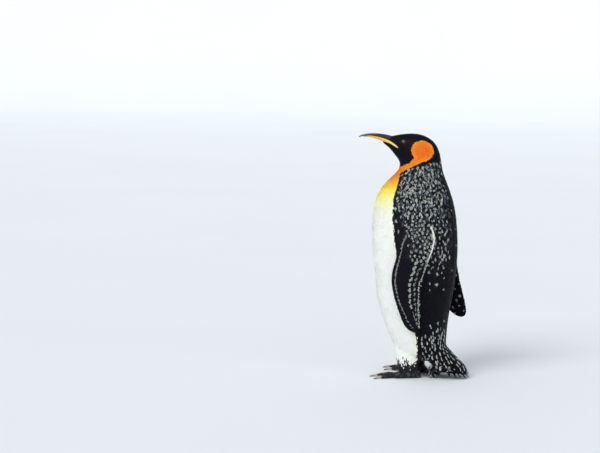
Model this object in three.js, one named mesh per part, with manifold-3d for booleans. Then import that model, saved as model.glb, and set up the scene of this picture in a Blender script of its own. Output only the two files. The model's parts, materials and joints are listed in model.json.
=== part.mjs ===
// A life-size king penguin, standing upright and at rest on its feet and the tips of its tail.
// Units are millimetres and +Z is up. The bird faces -Y and its own left side is +X. Its head is
// turned a little to its left. The origin is on the floor, in the middle of the model's outline.
//
// The body is one long loft of flat rings, cut into trunk, neck and head by thin gaps. Flippers,
// legs, feet, tail, bill, eyes and claws are lofts of their own, each cut back from its neighbour.

import * as THREE from "three";
import { mergeVertices } from "three/addons/utils/BufferGeometryUtils.js";
import Module from "manifold-3d";

const wasm = await Module();
wasm.setup();

// ---------------------------------------------------------------- driving dimensions
const GAP = 0.3; // clearance between touching pieces
const HEAD_TURN = 15; // degrees to the bird's left, shared out along the neck
const NECK_AXIS_Y = 20; // the upright line that the head turns about
const EYE_RADIUS = 10;
const EYE_CENTRE = [25, -43, 871.5]; // left eye, in the head's own frame
const SHOULDER = [99, 4, 603]; // left shoulder
const LEG_X = 56; // centre of each leg from the midline
const FOOT_TURN = 14; // degrees that each foot points outwards
const FOOT_ORIGIN_Y = -8; // ankle, along the body
const TAIL_ROOT = [0, 110, 96]; // inside the rump, where all tail blades start
const TAIL_TIP_Y = 213; // where the longest blade meets the floor
const TAIL_BLADES = 11;
const FLOOR_CUT = 400; // size of the block that trims every foot to the floor

const rad = THREE.MathUtils.degToRad;

// ---------------------------------------------------------------- lofting
// A row is one flat ring: front and back are its ends in the side view as [y, z], half is half its
// width in x, mid is where between front and back it is widest, and square is how boxy it is.
const row = (front, back, half, extra = {}) => ({
  front, back, half, x: 0, mid: 0.5, square: 2, turn: 0, ...extra,
});

// One smooth value through the key values at knots 0, 1, 2 ...
function spline(values, t) {
  const last = values.length - 1;
  const i = Math.min(Math.floor(t), last - 1);
  const f = t - i;
  const at = (k) => values[Math.min(Math.max(k, 0), last)];
  const [p0, p1, p2, p3] = [at(i - 1), at(i), at(i + 1), at(i + 2)];
  const slope1 = i > 0 ? (p2 - p0) / 2 : p2 - p1;
  const slope2 = i + 2 <= last ? (p3 - p1) / 2 : p2 - p1;
  const f2 = f * f;
  const f3 = f2 * f;
  return (2 * f3 - 3 * f2 + 1) * p1 + (f3 - 2 * f2 + f) * slope1
    + (3 * f2 - 2 * f3) * p2 + (f3 - f2) * slope2;
}

function rowAt(rows, t) {
  const pick = (read) => spline(rows.map(read), t);
  return {
    front: [pick((r) => r.front[0]), pick((r) => r.front[1])],
    back: [pick((r) => r.back[0]), pick((r) => r.back[1])],
    half: pick((r) => r.half),
    x: pick((r) => r.x),
    mid: pick((r) => r.mid),
    square: pick((r) => r.square),
    turn: pick((r) => r.turn),
  };
}

function ringPoints(r, around, grow) {
  const front = new THREE.Vector2(...r.front);
  const back = new THREE.Vector2(...r.back);
  const middle = front.clone().lerp(back, r.mid);
  const toFront = front.clone().sub(middle);
  const toBack = back.clone().sub(middle);
  toFront.setLength(toFront.length() + grow);
  toBack.setLength(toBack.length() + grow);
  const power = 2 / r.square;
  const round = (v) => Math.sign(v) * Math.abs(v) ** power;
  const points = [];
  for (let k = 0; k < around; k += 1) {
    const angle = (2 * Math.PI * k) / around;
    const along = round(Math.cos(angle));
    const reach = along > 0 ? toFront : toBack;
    const p = new THREE.Vector3(
      r.x + (r.half + grow) * round(Math.sin(angle)),
      middle.x + reach.x * Math.abs(along),
      middle.y + reach.y * Math.abs(along),
    );
    p.y -= NECK_AXIS_Y;
    p.applyAxisAngle(new THREE.Vector3(0, 0, 1), rad(r.turn));
    p.y += NECK_AXIS_Y;
    points.push(p);
  }
  return points;
}

// A closed solid through the rows from knot `from` to knot `to`, with flat ends.
function loft(rows, { from = 0, to = rows.length - 1, steps, around, grow = 0 }) {
  const rings = [];
  for (let i = 0; i <= steps; i += 1) {
    rings.push(ringPoints(rowAt(rows, from + ((to - from) * i) / steps), around, grow));
  }
  const middleOf = (ring) => ring
    .reduce((sum, p) => sum.add(p), new THREE.Vector3())
    .divideScalar(ring.length);
  const vertices = [...rings.flat(), middleOf(rings[0]), middleOf(rings[steps])];
  const startHub = vertices.length - 2;
  const endHub = vertices.length - 1;
  const index = [];
  for (let k = 0; k < around; k += 1) {
    const next = (k + 1) % around;
    for (let i = 0; i < steps; i += 1) {
      const [a, b] = [i * around + k, i * around + next];
      const [c, d] = [a + around, b + around];
      index.push(a, b, d, a, d, c);
    }
    index.push(startHub, next, k);
    index.push(endHub, steps * around + k, steps * around + next);
  }
  const geometry = new THREE.BufferGeometry().setFromPoints(vertices);
  geometry.setIndex(index);
  return solid(geometry);
}

// ---------------------------------------------------------------- solids
function solid(geometry) {
  const bare = geometry.clone();
  bare.deleteAttribute("normal");
  bare.deleteAttribute("uv");
  const merged = mergeVertices(bare, 1e-3);
  const make = (triVerts) => new wasm.Manifold(new wasm.Mesh({
    numProp: 3,
    vertProperties: merged.attributes.position.array,
    triVerts,
  }));
  const triVerts = new Uint32Array(merged.index.array);
  const made = make(triVerts);
  if (made.volume() > 0) return made;
  return make(triVerts.map((_, i) => triVerts[i - (i % 3) + [0, 2, 1][i % 3]]));
}

const placed = (made, matrix) => made.transform(matrix.elements);

function matrixOf(position, euler = [0, 0, 0], mirror = 1) {
  const turn = new THREE.Euler(...euler.map(rad), "ZYX");
  const matrix = new THREE.Matrix4().compose(
    new THREE.Vector3(...position),
    new THREE.Quaternion().setFromEuler(turn),
    new THREE.Vector3(1, 1, 1),
  );
  return new THREE.Matrix4().makeScale(mirror, 1, 1).multiply(matrix);
}

function sphere(radius, centre, wide, high) {
  const geometry = new THREE.SphereGeometry(radius, wide, high);
  geometry.translate(...centre);
  return solid(geometry);
}

function belowFloor() {
  const block = new THREE.BoxGeometry(FLOOR_CUT * 2, FLOOR_CUT * 2, FLOOR_CUT);
  block.translate(0, 0, -FLOOR_CUT / 2);
  return solid(block);
}

const floorBlock = belowFloor();
const onFloor = (made) => made.subtract(floorBlock);
const join = (pieces) => pieces.reduce((all, piece) => all.add(piece));
const cutBy = (made, tools) => tools.reduce((left, tool) => left.subtract(tool), made);

// The largest body, where a cut leaves loose crumbs beside it.
const largest = (made) => made.decompose().sort((a, b) => b.volume() - a.volume())[0];

// ---------------------------------------------------------------- body, neck and head
const BODY_ROWS = [
  row([-30, 60], [74, 62], 45, { square: 2.3 }), // between the legs
  row([-58, 84], [106, 90], 78, { square: 2.3 }),
  row([-79, 128], [118, 132], 94, { square: 2.2 }),
  row([-104, 182], [122, 184], 106, { square: 2.15 }),
  row([-128, 242], [131, 242], 117),
  row([-143, 302], [142, 302], 125),
  row([-149, 380], [153, 380], 129),
  row([-158, 455], [159, 455], 128),
  row([-163, 530], [158, 530], 124),
  row([-159, 605], [151, 607], 115),
  row([-149, 657], [138, 664], 102, { mid: 0.52 }),
  row([-125, 702], [119, 716], 87, { mid: 0.54, turn: 2 }), // root of the neck
  row([-92, 736], [102, 760], 74, { mid: 0.56, turn: 5 }),
  row([-68, 760], [95, 797], 63, { mid: 0.56, turn: 9 }), // top of the neck
  row([-59, 778], [88, 831], 56, { mid: 0.54, turn: 12 }),
  row([-58, 790], [73, 863], 51, { mid: 0.52, turn: HEAD_TURN }), // nape and throat
  row([-62, 801], [45, 886], 47.5, { mid: 0.52, turn: HEAD_TURN }),
  row([-69, 812], [12, 898], 43, { mid: 0.52, turn: HEAD_TURN }),
  row([-78, 823], [-22, 900], 36.5, { mid: 0.52, turn: HEAD_TURN }), // crown, over the eyes
  row([-87, 835], [-54, 897], 28, { mid: 0.5, turn: HEAD_TURN }),
  row([-97, 846], [-78, 892.5], 19, { mid: 0.5, turn: HEAD_TURN }),
  row([-108, 855], [-95, 890], 12.5, { mid: 0.5, turn: HEAD_TURN }),
  row([-121, 865.5], [-109, 886.5], 8, { mid: 0.5, turn: HEAD_TURN }), // feathers end
];
const NECK_ROOT = 11;
const NECK_TOP = 13.2;
const BODY_AROUND = 32;
const ringGap = 0.009; // about GAP along the loft, in knots
const bodyPart = (from, to, steps, grow = 0) => loft(BODY_ROWS, {
  from, to, steps, around: BODY_AROUND, grow,
});

const TRUNK_STEPS = 20;
const trunk = bodyPart(0, NECK_ROOT, TRUNK_STEPS);
const grownTrunk = bodyPart(0, NECK_ROOT, TRUNK_STEPS, GAP);
const neck = bodyPart(NECK_ROOT + ringGap, NECK_TOP, 4);
const headBlank = bodyPart(NECK_TOP + ringGap, BODY_ROWS.length - 1, 16);

// ---------------------------------------------------------------- bill
// Upper and lower halves meet on the line of the mouth. In each row the front end is the lower
// edge and the back end the upper edge.
const upperBillRow = (lower, upper, half) => row(lower, upper, half, {
  mid: 0.06, square: 2.1, turn: HEAD_TURN,
});
const lowerBillRow = (lower, upper, half) => row(lower, upper, half, {
  mid: 0.93, square: 2.1, turn: HEAD_TURN,
});
const UPPER_BILL_ROWS = [
  upperBillRow([-90, 872.5], [-86, 890], 11.5),
  upperBillRow([-104, 878.6], [-102, 894.5], 10.8),
  upperBillRow([-126, 885.4], [-125, 898.3], 9.2),
  upperBillRow([-150, 890], [-150, 900], 7.2),
  upperBillRow([-176, 891.6], [-177, 899], 5),
  upperBillRow([-198, 888.4], [-200, 893.6], 2.8),
  upperBillRow([-207.5, 884.6], [-208.5, 886.8], 1),
];
const LOWER_BILL_ROWS = [
  lowerBillRow([-65, 843], [-63, 850.5], 32.6),
  lowerBillRow([-77, 848.5], [-75, 862], 29.6),
  lowerBillRow([-92, 857], [-90, 871.5], 20.8),
  lowerBillRow([-106, 864], [-104, 878.1], 14.6),
  lowerBillRow([-127, 873.2], [-126, 884.9], 10.2),
  lowerBillRow([-150, 881.4], [-150, 889.5], 7.4),
  lowerBillRow([-176, 887], [-176, 891.1], 4.4),
  lowerBillRow([-194, 887.6], [-195, 888.9], 1.8),
];
const billUpper = (grow) => loft(UPPER_BILL_ROWS, { steps: 11, around: 10, grow });
const billLower = (grow) => loft(LOWER_BILL_ROWS, { steps: 11, around: 12, grow });

// ---------------------------------------------------------------- eyes
function inHeadFrame(point, side) {
  const p = new THREE.Vector3(side * point[0], point[1] - NECK_AXIS_Y, point[2]);
  p.applyAxisAngle(new THREE.Vector3(0, 0, 1), rad(HEAD_TURN));
  return [p.x, p.y + NECK_AXIS_Y, p.z];
}
const eye = (side, grow) => sphere(EYE_RADIUS + grow, inHeadFrame(EYE_CENTRE, side), 12, 8);

// ---------------------------------------------------------------- flippers
// A flipper hangs down -Z from the shoulder, with its leading edge towards -Y. bow carries it out
// and round the body, and twist turns its trailing edge in towards the body. Each row is
// [down, leading edge, trailing edge, half thickness, bow, twist].
const FLIPPER_SHAPE = [
  [-28, -12, 28, 6, -18, 0],
  [0, -28, 58, 14, -3, 4],
  [45, -36, 88, 17, 15, 9],
  [95, -44, 92, 14.5, 32, 12],
  [145, -54, 73, 11.5, 40, 10],
  [185, -66, 59, 10, 44, 6],
  [230, -71, 46, 8.5, 46, 3],
  [290, -63, 39, 7, 45, 0],
  [345, -49, 34, 5.6, 42, 0],
  [385, -37, 30, 4.4, 39, 0],
  [409, -20, 24, 3, 38, 0],
  [420, -3, 15, 1.6, 37.5, 0],
];
const FLIPPER_ROWS = FLIPPER_SHAPE.map(([down, lead, trail, thick, bow, twist]) => row(
  [lead, -down], [trail, -down], thick, { x: bow, mid: 0.4, square: 2, turn: twist },
));
// The right flipper is held further back and out, and a little lower.
const FLIPPER_POSE = {
  left: { swing: 4, spread: 0, lower: 0 },
  right: { swing: 19, spread: 4, lower: 12 },
};

function flipper(name, side) {
  const { swing, spread, lower } = FLIPPER_POSE[name];
  const blade = loft(FLIPPER_ROWS, { steps: 19, around: 14 });
  const [x, y, z] = SHOULDER;
  const matrix = matrixOf([x, y, z - lower], [swing, -spread, 0], side);
  return largest(placed(blade, matrix).subtract(grownTrunk));
}

// ---------------------------------------------------------------- legs and feet
// Each leg is a feathered column. Foot rows run from the heel forwards along -Y.
const LEG_ROWS = [
  row([-34, 30], [30, 30], 25, { square: 2.2 }),
  row([-41, 52], [38, 52], 32, { square: 2.2 }),
  row([-48, 92], [50, 92], 35, { x: -6 }),
  row([-50, 140], [50, 140], 28, { x: -16 }),
];
const TOES = [
  { name: "inner", turn: -24, length: 80, half: 8.6 },
  { name: "middle", turn: -1, length: 99, half: 9.4 },
  { name: "outer", turn: 21, length: 90, half: 9 },
];
const TOE_ROOT_Y = -14;
const CLAW_LENGTH = 31;
const CLAW_OVERLAP = 6;

// A tube of rings that stand upright across -Y, from [y, bottom, top, half width] rows.
const forwardRows = (table) => table.map(([y, bottom, top, half]) => row(
  [y, bottom], [y, top], half, { mid: 0.42, square: 2.4 },
));

const SOLE = -1.5; // rows start a little under the floor and are trimmed flat
const FOOT_PAD_ROWS = forwardRows([
  [48, SOLE + 2, 15, 10],
  [40, SOLE, 25, 17],
  [20, SOLE, 38, 22],
  [0, SOLE, 37, 26],
  [-22, SOLE, 27, 31],
  [-40, SOLE, 19, 33],
  [-50, SOLE, 13, 28],
]);

function toeRows({ length, half }) {
  const at = (share) => -share * length;
  return forwardRows([
    [0, SOLE, 20, half],
    [at(0.3), SOLE, 19, half],
    [at(0.52), SOLE, 15.5, half * 0.86],
    [at(0.74), SOLE, 16, half * 0.92],
    [at(0.92), SOLE, 13.5, half * 0.8],
    [at(1), SOLE + 2, 9, half * 0.5],
  ]);
}

const CLAW_ROWS = forwardRows([
  [CLAW_OVERLAP, 4, 11, 4.2],
  [0, 4, 12.5, 4.8],
  [-CLAW_LENGTH * 0.4, 2.6, 11.2, 4.1],
  [-CLAW_LENGTH * 0.8, -0.4, 6.2, 2.4],
  [-CLAW_LENGTH, -0.6, 2.2, 0.9],
]);
const HIND_CLAW_SCALE = 0.62;
const HIND_TOE = { position: [-19, 26, 4], turn: -62, length: 20 };

const toeMatrix = (toe) => matrixOf([0, TOE_ROOT_Y, 0], [0, 0, toe.turn]);

function clawMatrix(toe) {
  const forwards = new THREE.Matrix4().makeTranslation(0, -toe.length + 2, 0);
  return toeMatrix(toe).multiply(forwards);
}

// A thin web from one toe to the next, with its front edge drawn back between them.
function web(from, to) {
  const tip = (toe, share) => {
    const p = new THREE.Vector3(0, -toe.length * share, 0).applyMatrix4(toeMatrix(toe));
    return new THREE.Vector2(p.x, p.y);
  };
  const [a, b] = [tip(from, 0.86), tip(to, 0.86)];
  const drawnBack = tip(from, 0.62).add(tip(to, 0.62)).multiplyScalar(0.5);
  const shape = new THREE.Shape();
  shape.moveTo(0, 0);
  shape.lineTo(a.x, a.y);
  shape.quadraticCurveTo(drawnBack.x, drawnBack.y, b.x, b.y);
  shape.closePath();
  return solid(new THREE.ExtrudeGeometry(shape, {
    depth: 4.5, bevelEnabled: false, curveSegments: 4,
  }));
}

const footMatrix = (side) => matrixOf([LEG_X, FOOT_ORIGIN_Y, 0], [0, 0, FOOT_TURN], side);

function hindToeMatrix() {
  return matrixOf(HIND_TOE.position, [0, 0, HIND_TOE.turn]);
}

function hindToe() {
  const { length } = HIND_TOE;
  const rows = forwardRows([
    [14, 2, 16, 5],
    [0, 2, 15, 6],
    [-length * 0.7, 1, 12, 5],
    [-length, 2, 8, 2.6],
  ]);
  return placed(loft(rows, { steps: 4, around: 6 }), hindToeMatrix());
}

function claws(grow) {
  const shape = loft(CLAW_ROWS, { steps: 5, around: 6, grow });
  const made = {};
  TOES.forEach((toe) => {
    made[toe.name] = placed(shape, clawMatrix(toe));
  });
  const small = new THREE.Matrix4()
    .makeTranslation(0, 2 - HIND_TOE.length, 1)
    .multiply(new THREE.Matrix4().makeScale(...Array(3).fill(HIND_CLAW_SCALE)));
  made.hind = placed(shape, hindToeMatrix().multiply(small));
  return made;
}

const legColumn = (grow) => loft(LEG_ROWS, { steps: 5, around: 14, grow });

function leg(side) {
  return largest(placed(legColumn(0), footMatrix(side)).subtract(grownTrunk));
}

function foot(side) {
  const pad = loft(FOOT_PAD_ROWS, { steps: 7, around: 12 });
  const toes = TOES.map((toe) => placed(
    loft(toeRows(toe), { steps: 6, around: 8 }), toeMatrix(toe),
  ));
  const [inner, middle, outer] = TOES;
  const whole = join([pad, ...toes, web(inner, middle), web(middle, outer), hindToe()]);
  const shaped = cutBy(whole, Object.values(claws(GAP)));
  const grownLeg = placed(legColumn(GAP), matrixOf([0, 0, -GAP]));
  const trimmed = onFloor(shaped.subtract(grownLeg));
  return largest(placed(trimmed, footMatrix(side)));
}

// ---------------------------------------------------------------- tail
// The coverts are a skirt that widens from the rump down to its hem near the floor. In each row
// the front end is the underside and the back end carries on the line of the back.
const COVERT_ROWS = [
  row([46, 112], [112, 136], 62),
  row([50, 88], [124, 106], 67),
  row([61, 62], [150, 83], 64),
  row([73, 40], [177, 60], 59),
  row([83, 24], [195, 41], 53),
];

// Stiff blades come out from under the coverts, all round the hem. The middle ones rest their
// tips on the floor and those at the sides end a little above it.
const BLADE_LENGTH = 140;
const BLADE_ROWS = forwardRows([
  [20, -7, 8, 9],
  [0, -8, 9, 13],
  [-BLADE_LENGTH * 0.4, -6, 7, 15],
  [-BLADE_LENGTH * 0.74, -3.5, 4.5, 13.5],
  [-BLADE_LENGTH * 0.9, -2.2, 2.6, 9],
  [-BLADE_LENGTH, -1.4, 1.4, 2.4],
]);
const TIPS_CENTRE_Y = 115;
const TIPS_SPAN = 220; // degrees of the hem, from the first tip round to the last
const TIPS_HALF_WIDTH = 61;
const SIDE_TIP_LIFT = 14;

function bladeMatrix(around) {
  const [, y, z] = TAIL_ROOT;
  const aside = Math.sin(around) * TIPS_HALF_WIDTH;
  const back = TIPS_CENTRE_Y - y + Math.cos(around) * (TAIL_TIP_Y - TIPS_CENTRE_Y);
  const down = z - SIDE_TIP_LIFT * Math.sin(around) ** 2;
  const heading = 180 - THREE.MathUtils.radToDeg(Math.atan2(aside, back));
  const reach = Math.hypot(aside, back);
  const drop = THREE.MathUtils.radToDeg(Math.atan2(down, reach));
  const length = Math.hypot(reach, down) / BLADE_LENGTH;
  const stretch = new THREE.Matrix4().makeScale(1, length, 1);
  return matrixOf(TAIL_ROOT, [drop, 0, heading]).multiply(stretch);
}

function tail() {
  const coverts = loft(COVERT_ROWS, { steps: 5, around: 16 });
  const blade = loft(BLADE_ROWS, { steps: 5, around: 6 });
  const blades = [];
  for (let i = 0; i < TAIL_BLADES; i += 1) {
    const around = rad((i / (TAIL_BLADES - 1) - 0.5) * TIPS_SPAN);
    blades.push(placed(blade, bladeMatrix(around)));
  }
  return largest(onFloor(join([coverts, ...blades]).subtract(grownTrunk)));
}

// ---------------------------------------------------------------- colours and assembly
const colour = (hex, roughness) => new THREE.MeshStandardMaterial({
  color: hex, roughness, metalness: 0,
});
const MATERIALS = {
  head: colour(0x101014, 0.7),
  neck: colour(0x6d7480, 0.75),
  trunk: colour(0xe8ebe2, 0.8),
  back: colour(0x17181d, 0.75),
  flipper: colour(0x121318, 0.7),
  upperBill: colour(0x14100f, 0.35),
  lowerBill: colour(0xe2a428, 0.4),
  eye: colour(0x3a1c10, 0.1),
  foot: colour(0x24242a, 0.8),
  claw: colour(0x6b6660, 0.45),
};

const penguin = new THREE.Group();

function addNode(name, made, material) {
  const { numProp, vertProperties, triVerts } = made.getMesh();
  const positions = new Float32Array((vertProperties.length / numProp) * 3);
  for (let i = 0; i < positions.length / 3; i += 1) {
    positions.set(vertProperties.subarray(i * numProp, i * numProp + 3), i * 3);
  }
  const geometry = new THREE.BufferGeometry();
  geometry.setAttribute("position", new THREE.BufferAttribute(positions, 3));
  geometry.setIndex(new THREE.BufferAttribute(new Uint32Array(triVerts), 1));
  const mesh = new THREE.Mesh(geometry, material);
  mesh.name = name;
  penguin.add(mesh);
}

const SIDES = { left: 1, right: -1 };
const headTools = [billUpper(GAP), billLower(GAP), eye(1, GAP), eye(-1, GAP)];
addNode("trunk", trunk, MATERIALS.trunk);
addNode("neck", neck, MATERIALS.neck);
addNode("head", largest(cutBy(headBlank, headTools)), MATERIALS.head);
addNode("bill_upper", billUpper(0), MATERIALS.upperBill);
addNode("bill_lower", largest(billLower(0).subtract(billUpper(GAP))), MATERIALS.lowerBill);
addNode("tail", tail(), MATERIALS.back);
Object.entries(SIDES).forEach(([name, side]) => {
  addNode(`eye_${name}`, eye(side, 0), MATERIALS.eye);
  addNode(`flipper_${name}`, flipper(name, side), MATERIALS.flipper);
  addNode(`leg_${name}`, leg(side), MATERIALS.trunk);
  addNode(`foot_${name}`, foot(side), MATERIALS.foot);
  Object.entries(claws(0)).forEach(([toe, made]) => {
    addNode(`claw_${name}_${toe}`, placed(onFloor(made), footMatrix(side)), MATERIALS.claw);
  });
});

// The origin stands under the middle of the outline.
const outline = new THREE.Box3().setFromObject(penguin);
const middle = outline.getCenter(new THREE.Vector3());
penguin.position.set(-middle.x, -middle.y, 0);

export default penguin;
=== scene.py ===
"""A life-size king penguin, dressed over its solids: skin, plumage, bill, eyes, claws and tail.

Lengths are metres where no other unit is given. Places on the bird are given from the upright line
through the middle of its body, on the floor: +Z up, -Y the way it faces, +X its own left.
"""
import json
import math

import bpy
import numpy as np
from mathutils import Matrix, Vector, noise
from mathutils.bvhtree import BVHTree
from mathutils.kdtree import KDTree

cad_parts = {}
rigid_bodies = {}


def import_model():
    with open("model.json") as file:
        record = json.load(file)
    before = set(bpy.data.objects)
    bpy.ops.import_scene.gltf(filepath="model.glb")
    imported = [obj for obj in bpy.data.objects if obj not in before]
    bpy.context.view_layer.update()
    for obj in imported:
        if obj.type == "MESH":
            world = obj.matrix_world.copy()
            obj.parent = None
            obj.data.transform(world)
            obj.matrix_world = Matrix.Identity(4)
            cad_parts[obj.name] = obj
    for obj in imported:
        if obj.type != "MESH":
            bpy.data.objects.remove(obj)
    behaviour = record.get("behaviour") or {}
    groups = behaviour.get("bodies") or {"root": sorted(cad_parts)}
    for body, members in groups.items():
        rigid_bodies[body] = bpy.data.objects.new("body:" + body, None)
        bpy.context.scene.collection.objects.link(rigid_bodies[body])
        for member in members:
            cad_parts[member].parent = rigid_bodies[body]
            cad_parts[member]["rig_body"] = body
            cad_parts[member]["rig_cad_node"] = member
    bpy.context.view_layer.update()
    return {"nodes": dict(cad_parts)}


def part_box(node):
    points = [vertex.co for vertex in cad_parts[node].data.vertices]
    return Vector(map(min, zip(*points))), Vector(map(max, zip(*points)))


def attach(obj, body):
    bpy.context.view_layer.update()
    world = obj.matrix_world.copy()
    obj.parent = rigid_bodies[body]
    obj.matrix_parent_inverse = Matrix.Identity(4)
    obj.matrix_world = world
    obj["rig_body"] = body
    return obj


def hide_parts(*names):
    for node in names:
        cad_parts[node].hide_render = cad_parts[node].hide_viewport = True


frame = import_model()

# ------------------------------------------------------------------ places on the bird
TRUNK_FRONT = 0.1628  # breast's foremost point, ahead of the body's upright line
trunk_low, trunk_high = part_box("trunk")
MIDLINE = Vector(((trunk_low.x + trunk_high.x) / 2, trunk_low.y + TRUNK_FRONT, 0))
HEAD_TURN = math.radians(15)  # to the bird's left
TURN_PIVOT_Y = 0.020  # the upright line that the head turns about
TURN_FROM, TURN_TO = 0.69, 0.83  # neck levels where its turn begins and is complete
NECK_SLOPE = 0.25  # the rings round the neck rise by this share of their way back
EYE_RADIUS = 0.010
SIDES = {"left": 1, "right": -1}
UP = np.array((0, 0, 1.0))
MM = 0.001


def smooth(low, high, value):
    """0 below low, 1 above high, and an even slope with soft ends between."""
    t = np.clip((value - low) / (high - low), 0, 1)
    return t * t * (3 - 2 * t)


def unit(v):
    return v / np.maximum(np.linalg.norm(v, axis=-1, keepdims=True), 1e-9)


def to_bird(points):
    return np.asarray(points, float) - np.array(MIDLINE)


def neck_level(q):
    """Height along the neck, the same all round each of its rings."""
    return q[:, 2] - NECK_SLOPE * q[:, 1]


def straightened(q):
    """Places with the head's turn undone, so that both sides of the face match."""
    turn = -HEAD_TURN * smooth(TURN_FROM, TURN_TO, neck_level(q))
    y = q[:, 1] - TURN_PIVOT_Y
    cos, sin = np.cos(turn), np.sin(turn)
    return np.stack([q[:, 0] * cos - y * sin, q[:, 0] * sin + y * cos + TURN_PIVOT_Y, q[:, 2]], 1)


def head_place(x, y, z):
    """A place in the head's own frame, as a point in the row frame."""
    turned = Matrix.Rotation(HEAD_TURN, 3, "Z") @ Vector((x, y - TURN_PIVOT_Y, z))
    return turned + Vector((0, TURN_PIVOT_Y, 0)) + MIDLINE


# ------------------------------------------------------------------ camera, floor and light
VIEW_AZIMUTH = math.radians(105)  # from the bird's left, a little behind it
VIEW_ELEVATION = math.radians(8)
VIEW_DISTANCE = 6.174
VIEW_HEIGHT = 0.45
LENS = 100.0
SENSOR = 36.0
FRAME_WIDTH = 600  # the next two are in the same unit
BIRD_RIGHT, BIRD_DOWN = 116.0, 27.9  # the bird stands right of and below the frame's middle
FAR_CLIP = 60
FLOOR_SIZE = 30
FLOOR_MIDDLE = (-3, 0, 0)
FAR_EDGE_X = -14  # the floor's far edge lies beyond this
SWEEP_RISE = 14
SWEEP_RADIUS = 4
LAMPS = {  # name: (place it shines from, angle it fills, strength)
    "key": ((3.6, -1.6, 3.4), 35, 1.7),
    "fill": ((3.0, 4.2, 1.6), 60, 0.5),
}
SKY_COLOUR = (0.90, 0.95, 1.0, 1)
SKY_STRENGTH = 0.62
PAPER_DARK, PAPER_LIGHT = (0.78, 0.80, 0.82, 1), (0.82, 0.84, 0.86, 1)


def make_camera():
    bpy.context.scene.view_settings.view_transform = "Standard"
    bpy.ops.object.select_all(action="DESELECT")
    towards = Vector((
        math.sin(VIEW_AZIMUTH) * math.cos(VIEW_ELEVATION),
        -math.cos(VIEW_AZIMUTH) * math.cos(VIEW_ELEVATION),
        math.sin(VIEW_ELEVATION),
    ))
    target = MIDLINE + Vector((0, 0, VIEW_HEIGHT))
    place = target + towards * VIEW_DISTANCE
    focal = LENS / SENSOR * FRAME_WIDTH
    straight = (-towards).to_track_quat("-Z", "Y")
    aside = Matrix.Rotation(math.atan(BIRD_RIGHT / focal), 3, "Z")
    down = Matrix.Rotation(math.atan(BIRD_DOWN / focal), 3, "X")
    turned = aside @ straight.to_matrix() @ down
    bpy.ops.object.camera_add(location=place, rotation=turned.to_euler())
    camera = bpy.context.object
    camera.name = "view"
    camera.data.lens = LENS
    camera.data.sensor_width = SENSOR
    camera.data.clip_end = FAR_CLIP
    bpy.context.scene.camera = camera


def make_floor():
    """A pale floor that sweeps up far behind the bird."""
    bpy.ops.object.select_all(action="DESELECT")
    bpy.ops.mesh.primitive_plane_add(size=FLOOR_SIZE, location=FLOOR_MIDDLE)
    floor = bpy.context.object
    floor.name = "studio_floor"
    bpy.ops.object.mode_set(mode="EDIT")
    bpy.ops.mesh.select_all(action="DESELECT")
    bpy.ops.object.mode_set(mode="OBJECT")
    for edge in floor.data.edges:
        ends = [floor.data.vertices[v].co.x for v in edge.vertices]
        edge.select = max(ends) < FAR_EDGE_X
    bpy.ops.object.mode_set(mode="EDIT")
    bpy.ops.mesh.select_mode(type="EDGE")
    bpy.ops.mesh.extrude_region_move(TRANSFORM_OT_translate={"value": (0, 0, SWEEP_RISE)})
    bpy.ops.object.mode_set(mode="OBJECT")
    bevel = floor.modifiers.new("sweep", "BEVEL")
    bevel.width = SWEEP_RADIUS
    bevel.segments = 12
    bevel.limit_method = "ANGLE"
    bpy.ops.object.modifier_apply(modifier="sweep")
    bpy.ops.object.transform_apply(location=True, rotation=True, scale=True)
    bpy.ops.object.shade_smooth()
    floor.data.materials.append(floor_finish())


def floor_finish():
    """Pale seamless paper with a faint cloudiness."""
    material, tree, shader = new_finish("pale_paper", roughness=0.9, Specular_IOR_Level=0.1)
    cloud = noise_over(tree, scale=0.8, detail=2.0)
    tree.links.new(mixed(tree, cloud, PAPER_DARK, PAPER_LIGHT), shader.inputs["Base Color"])
    return material


def make_lights():
    """Soft daylight from the front left, with a pale sky all round."""
    for name, (place, angle, strength) in LAMPS.items():
        aim = (-Vector(place)).to_track_quat("-Z", "Y")
        bpy.ops.object.light_add(type="SUN", location=place, rotation=aim.to_euler())
        lamp = bpy.context.object
        lamp.name = f"light_{name}"
        lamp.data.energy = strength
        lamp.data.angle = math.radians(angle)
    world = bpy.data.worlds.new("studio")
    bpy.context.scene.world = world
    world.use_nodes = True
    sky = world.node_tree.nodes["Background"]
    sky.inputs["Color"].default_value = SKY_COLOUR
    sky.inputs["Strength"].default_value = SKY_STRENGTH


# ------------------------------------------------------------------ mesh helpers
WELD = 1e-5


def deselect():
    if bpy.context.object and bpy.context.object.mode != "OBJECT":
        bpy.ops.object.mode_set(mode="OBJECT")
    bpy.ops.object.select_all(action="DESELECT")


def activate(*objects):
    deselect()
    for obj in objects:
        obj.select_set(True)
    bpy.context.view_layer.objects.active = objects[0]


def copied_nodes(name, nodes):
    """One new object from merged copies of CAD nodes."""
    deselect()
    copies = []
    for node in nodes:
        copy = frame["nodes"][node].copy()
        copy.data = copy.data.copy()
        copy.parent = None
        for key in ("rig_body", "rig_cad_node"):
            if key in copy:
                del copy[key]
        bpy.context.scene.collection.objects.link(copy)
        copies.append(copy)
    activate(*copies)
    if len(copies) > 1:
        bpy.ops.object.join()
    made = bpy.context.object
    made.name = name
    made.data.name = name
    made.data.materials.clear()
    edit_all(made, lambda: bpy.ops.mesh.remove_doubles(threshold=WELD))
    return made


def edit_all(obj, work):
    """Runs an edit-mode operator on the whole mesh."""
    activate(obj)
    bpy.ops.object.mode_set(mode="EDIT")
    bpy.ops.mesh.select_all(action="SELECT")
    work()
    bpy.ops.object.mode_set(mode="OBJECT")


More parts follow.
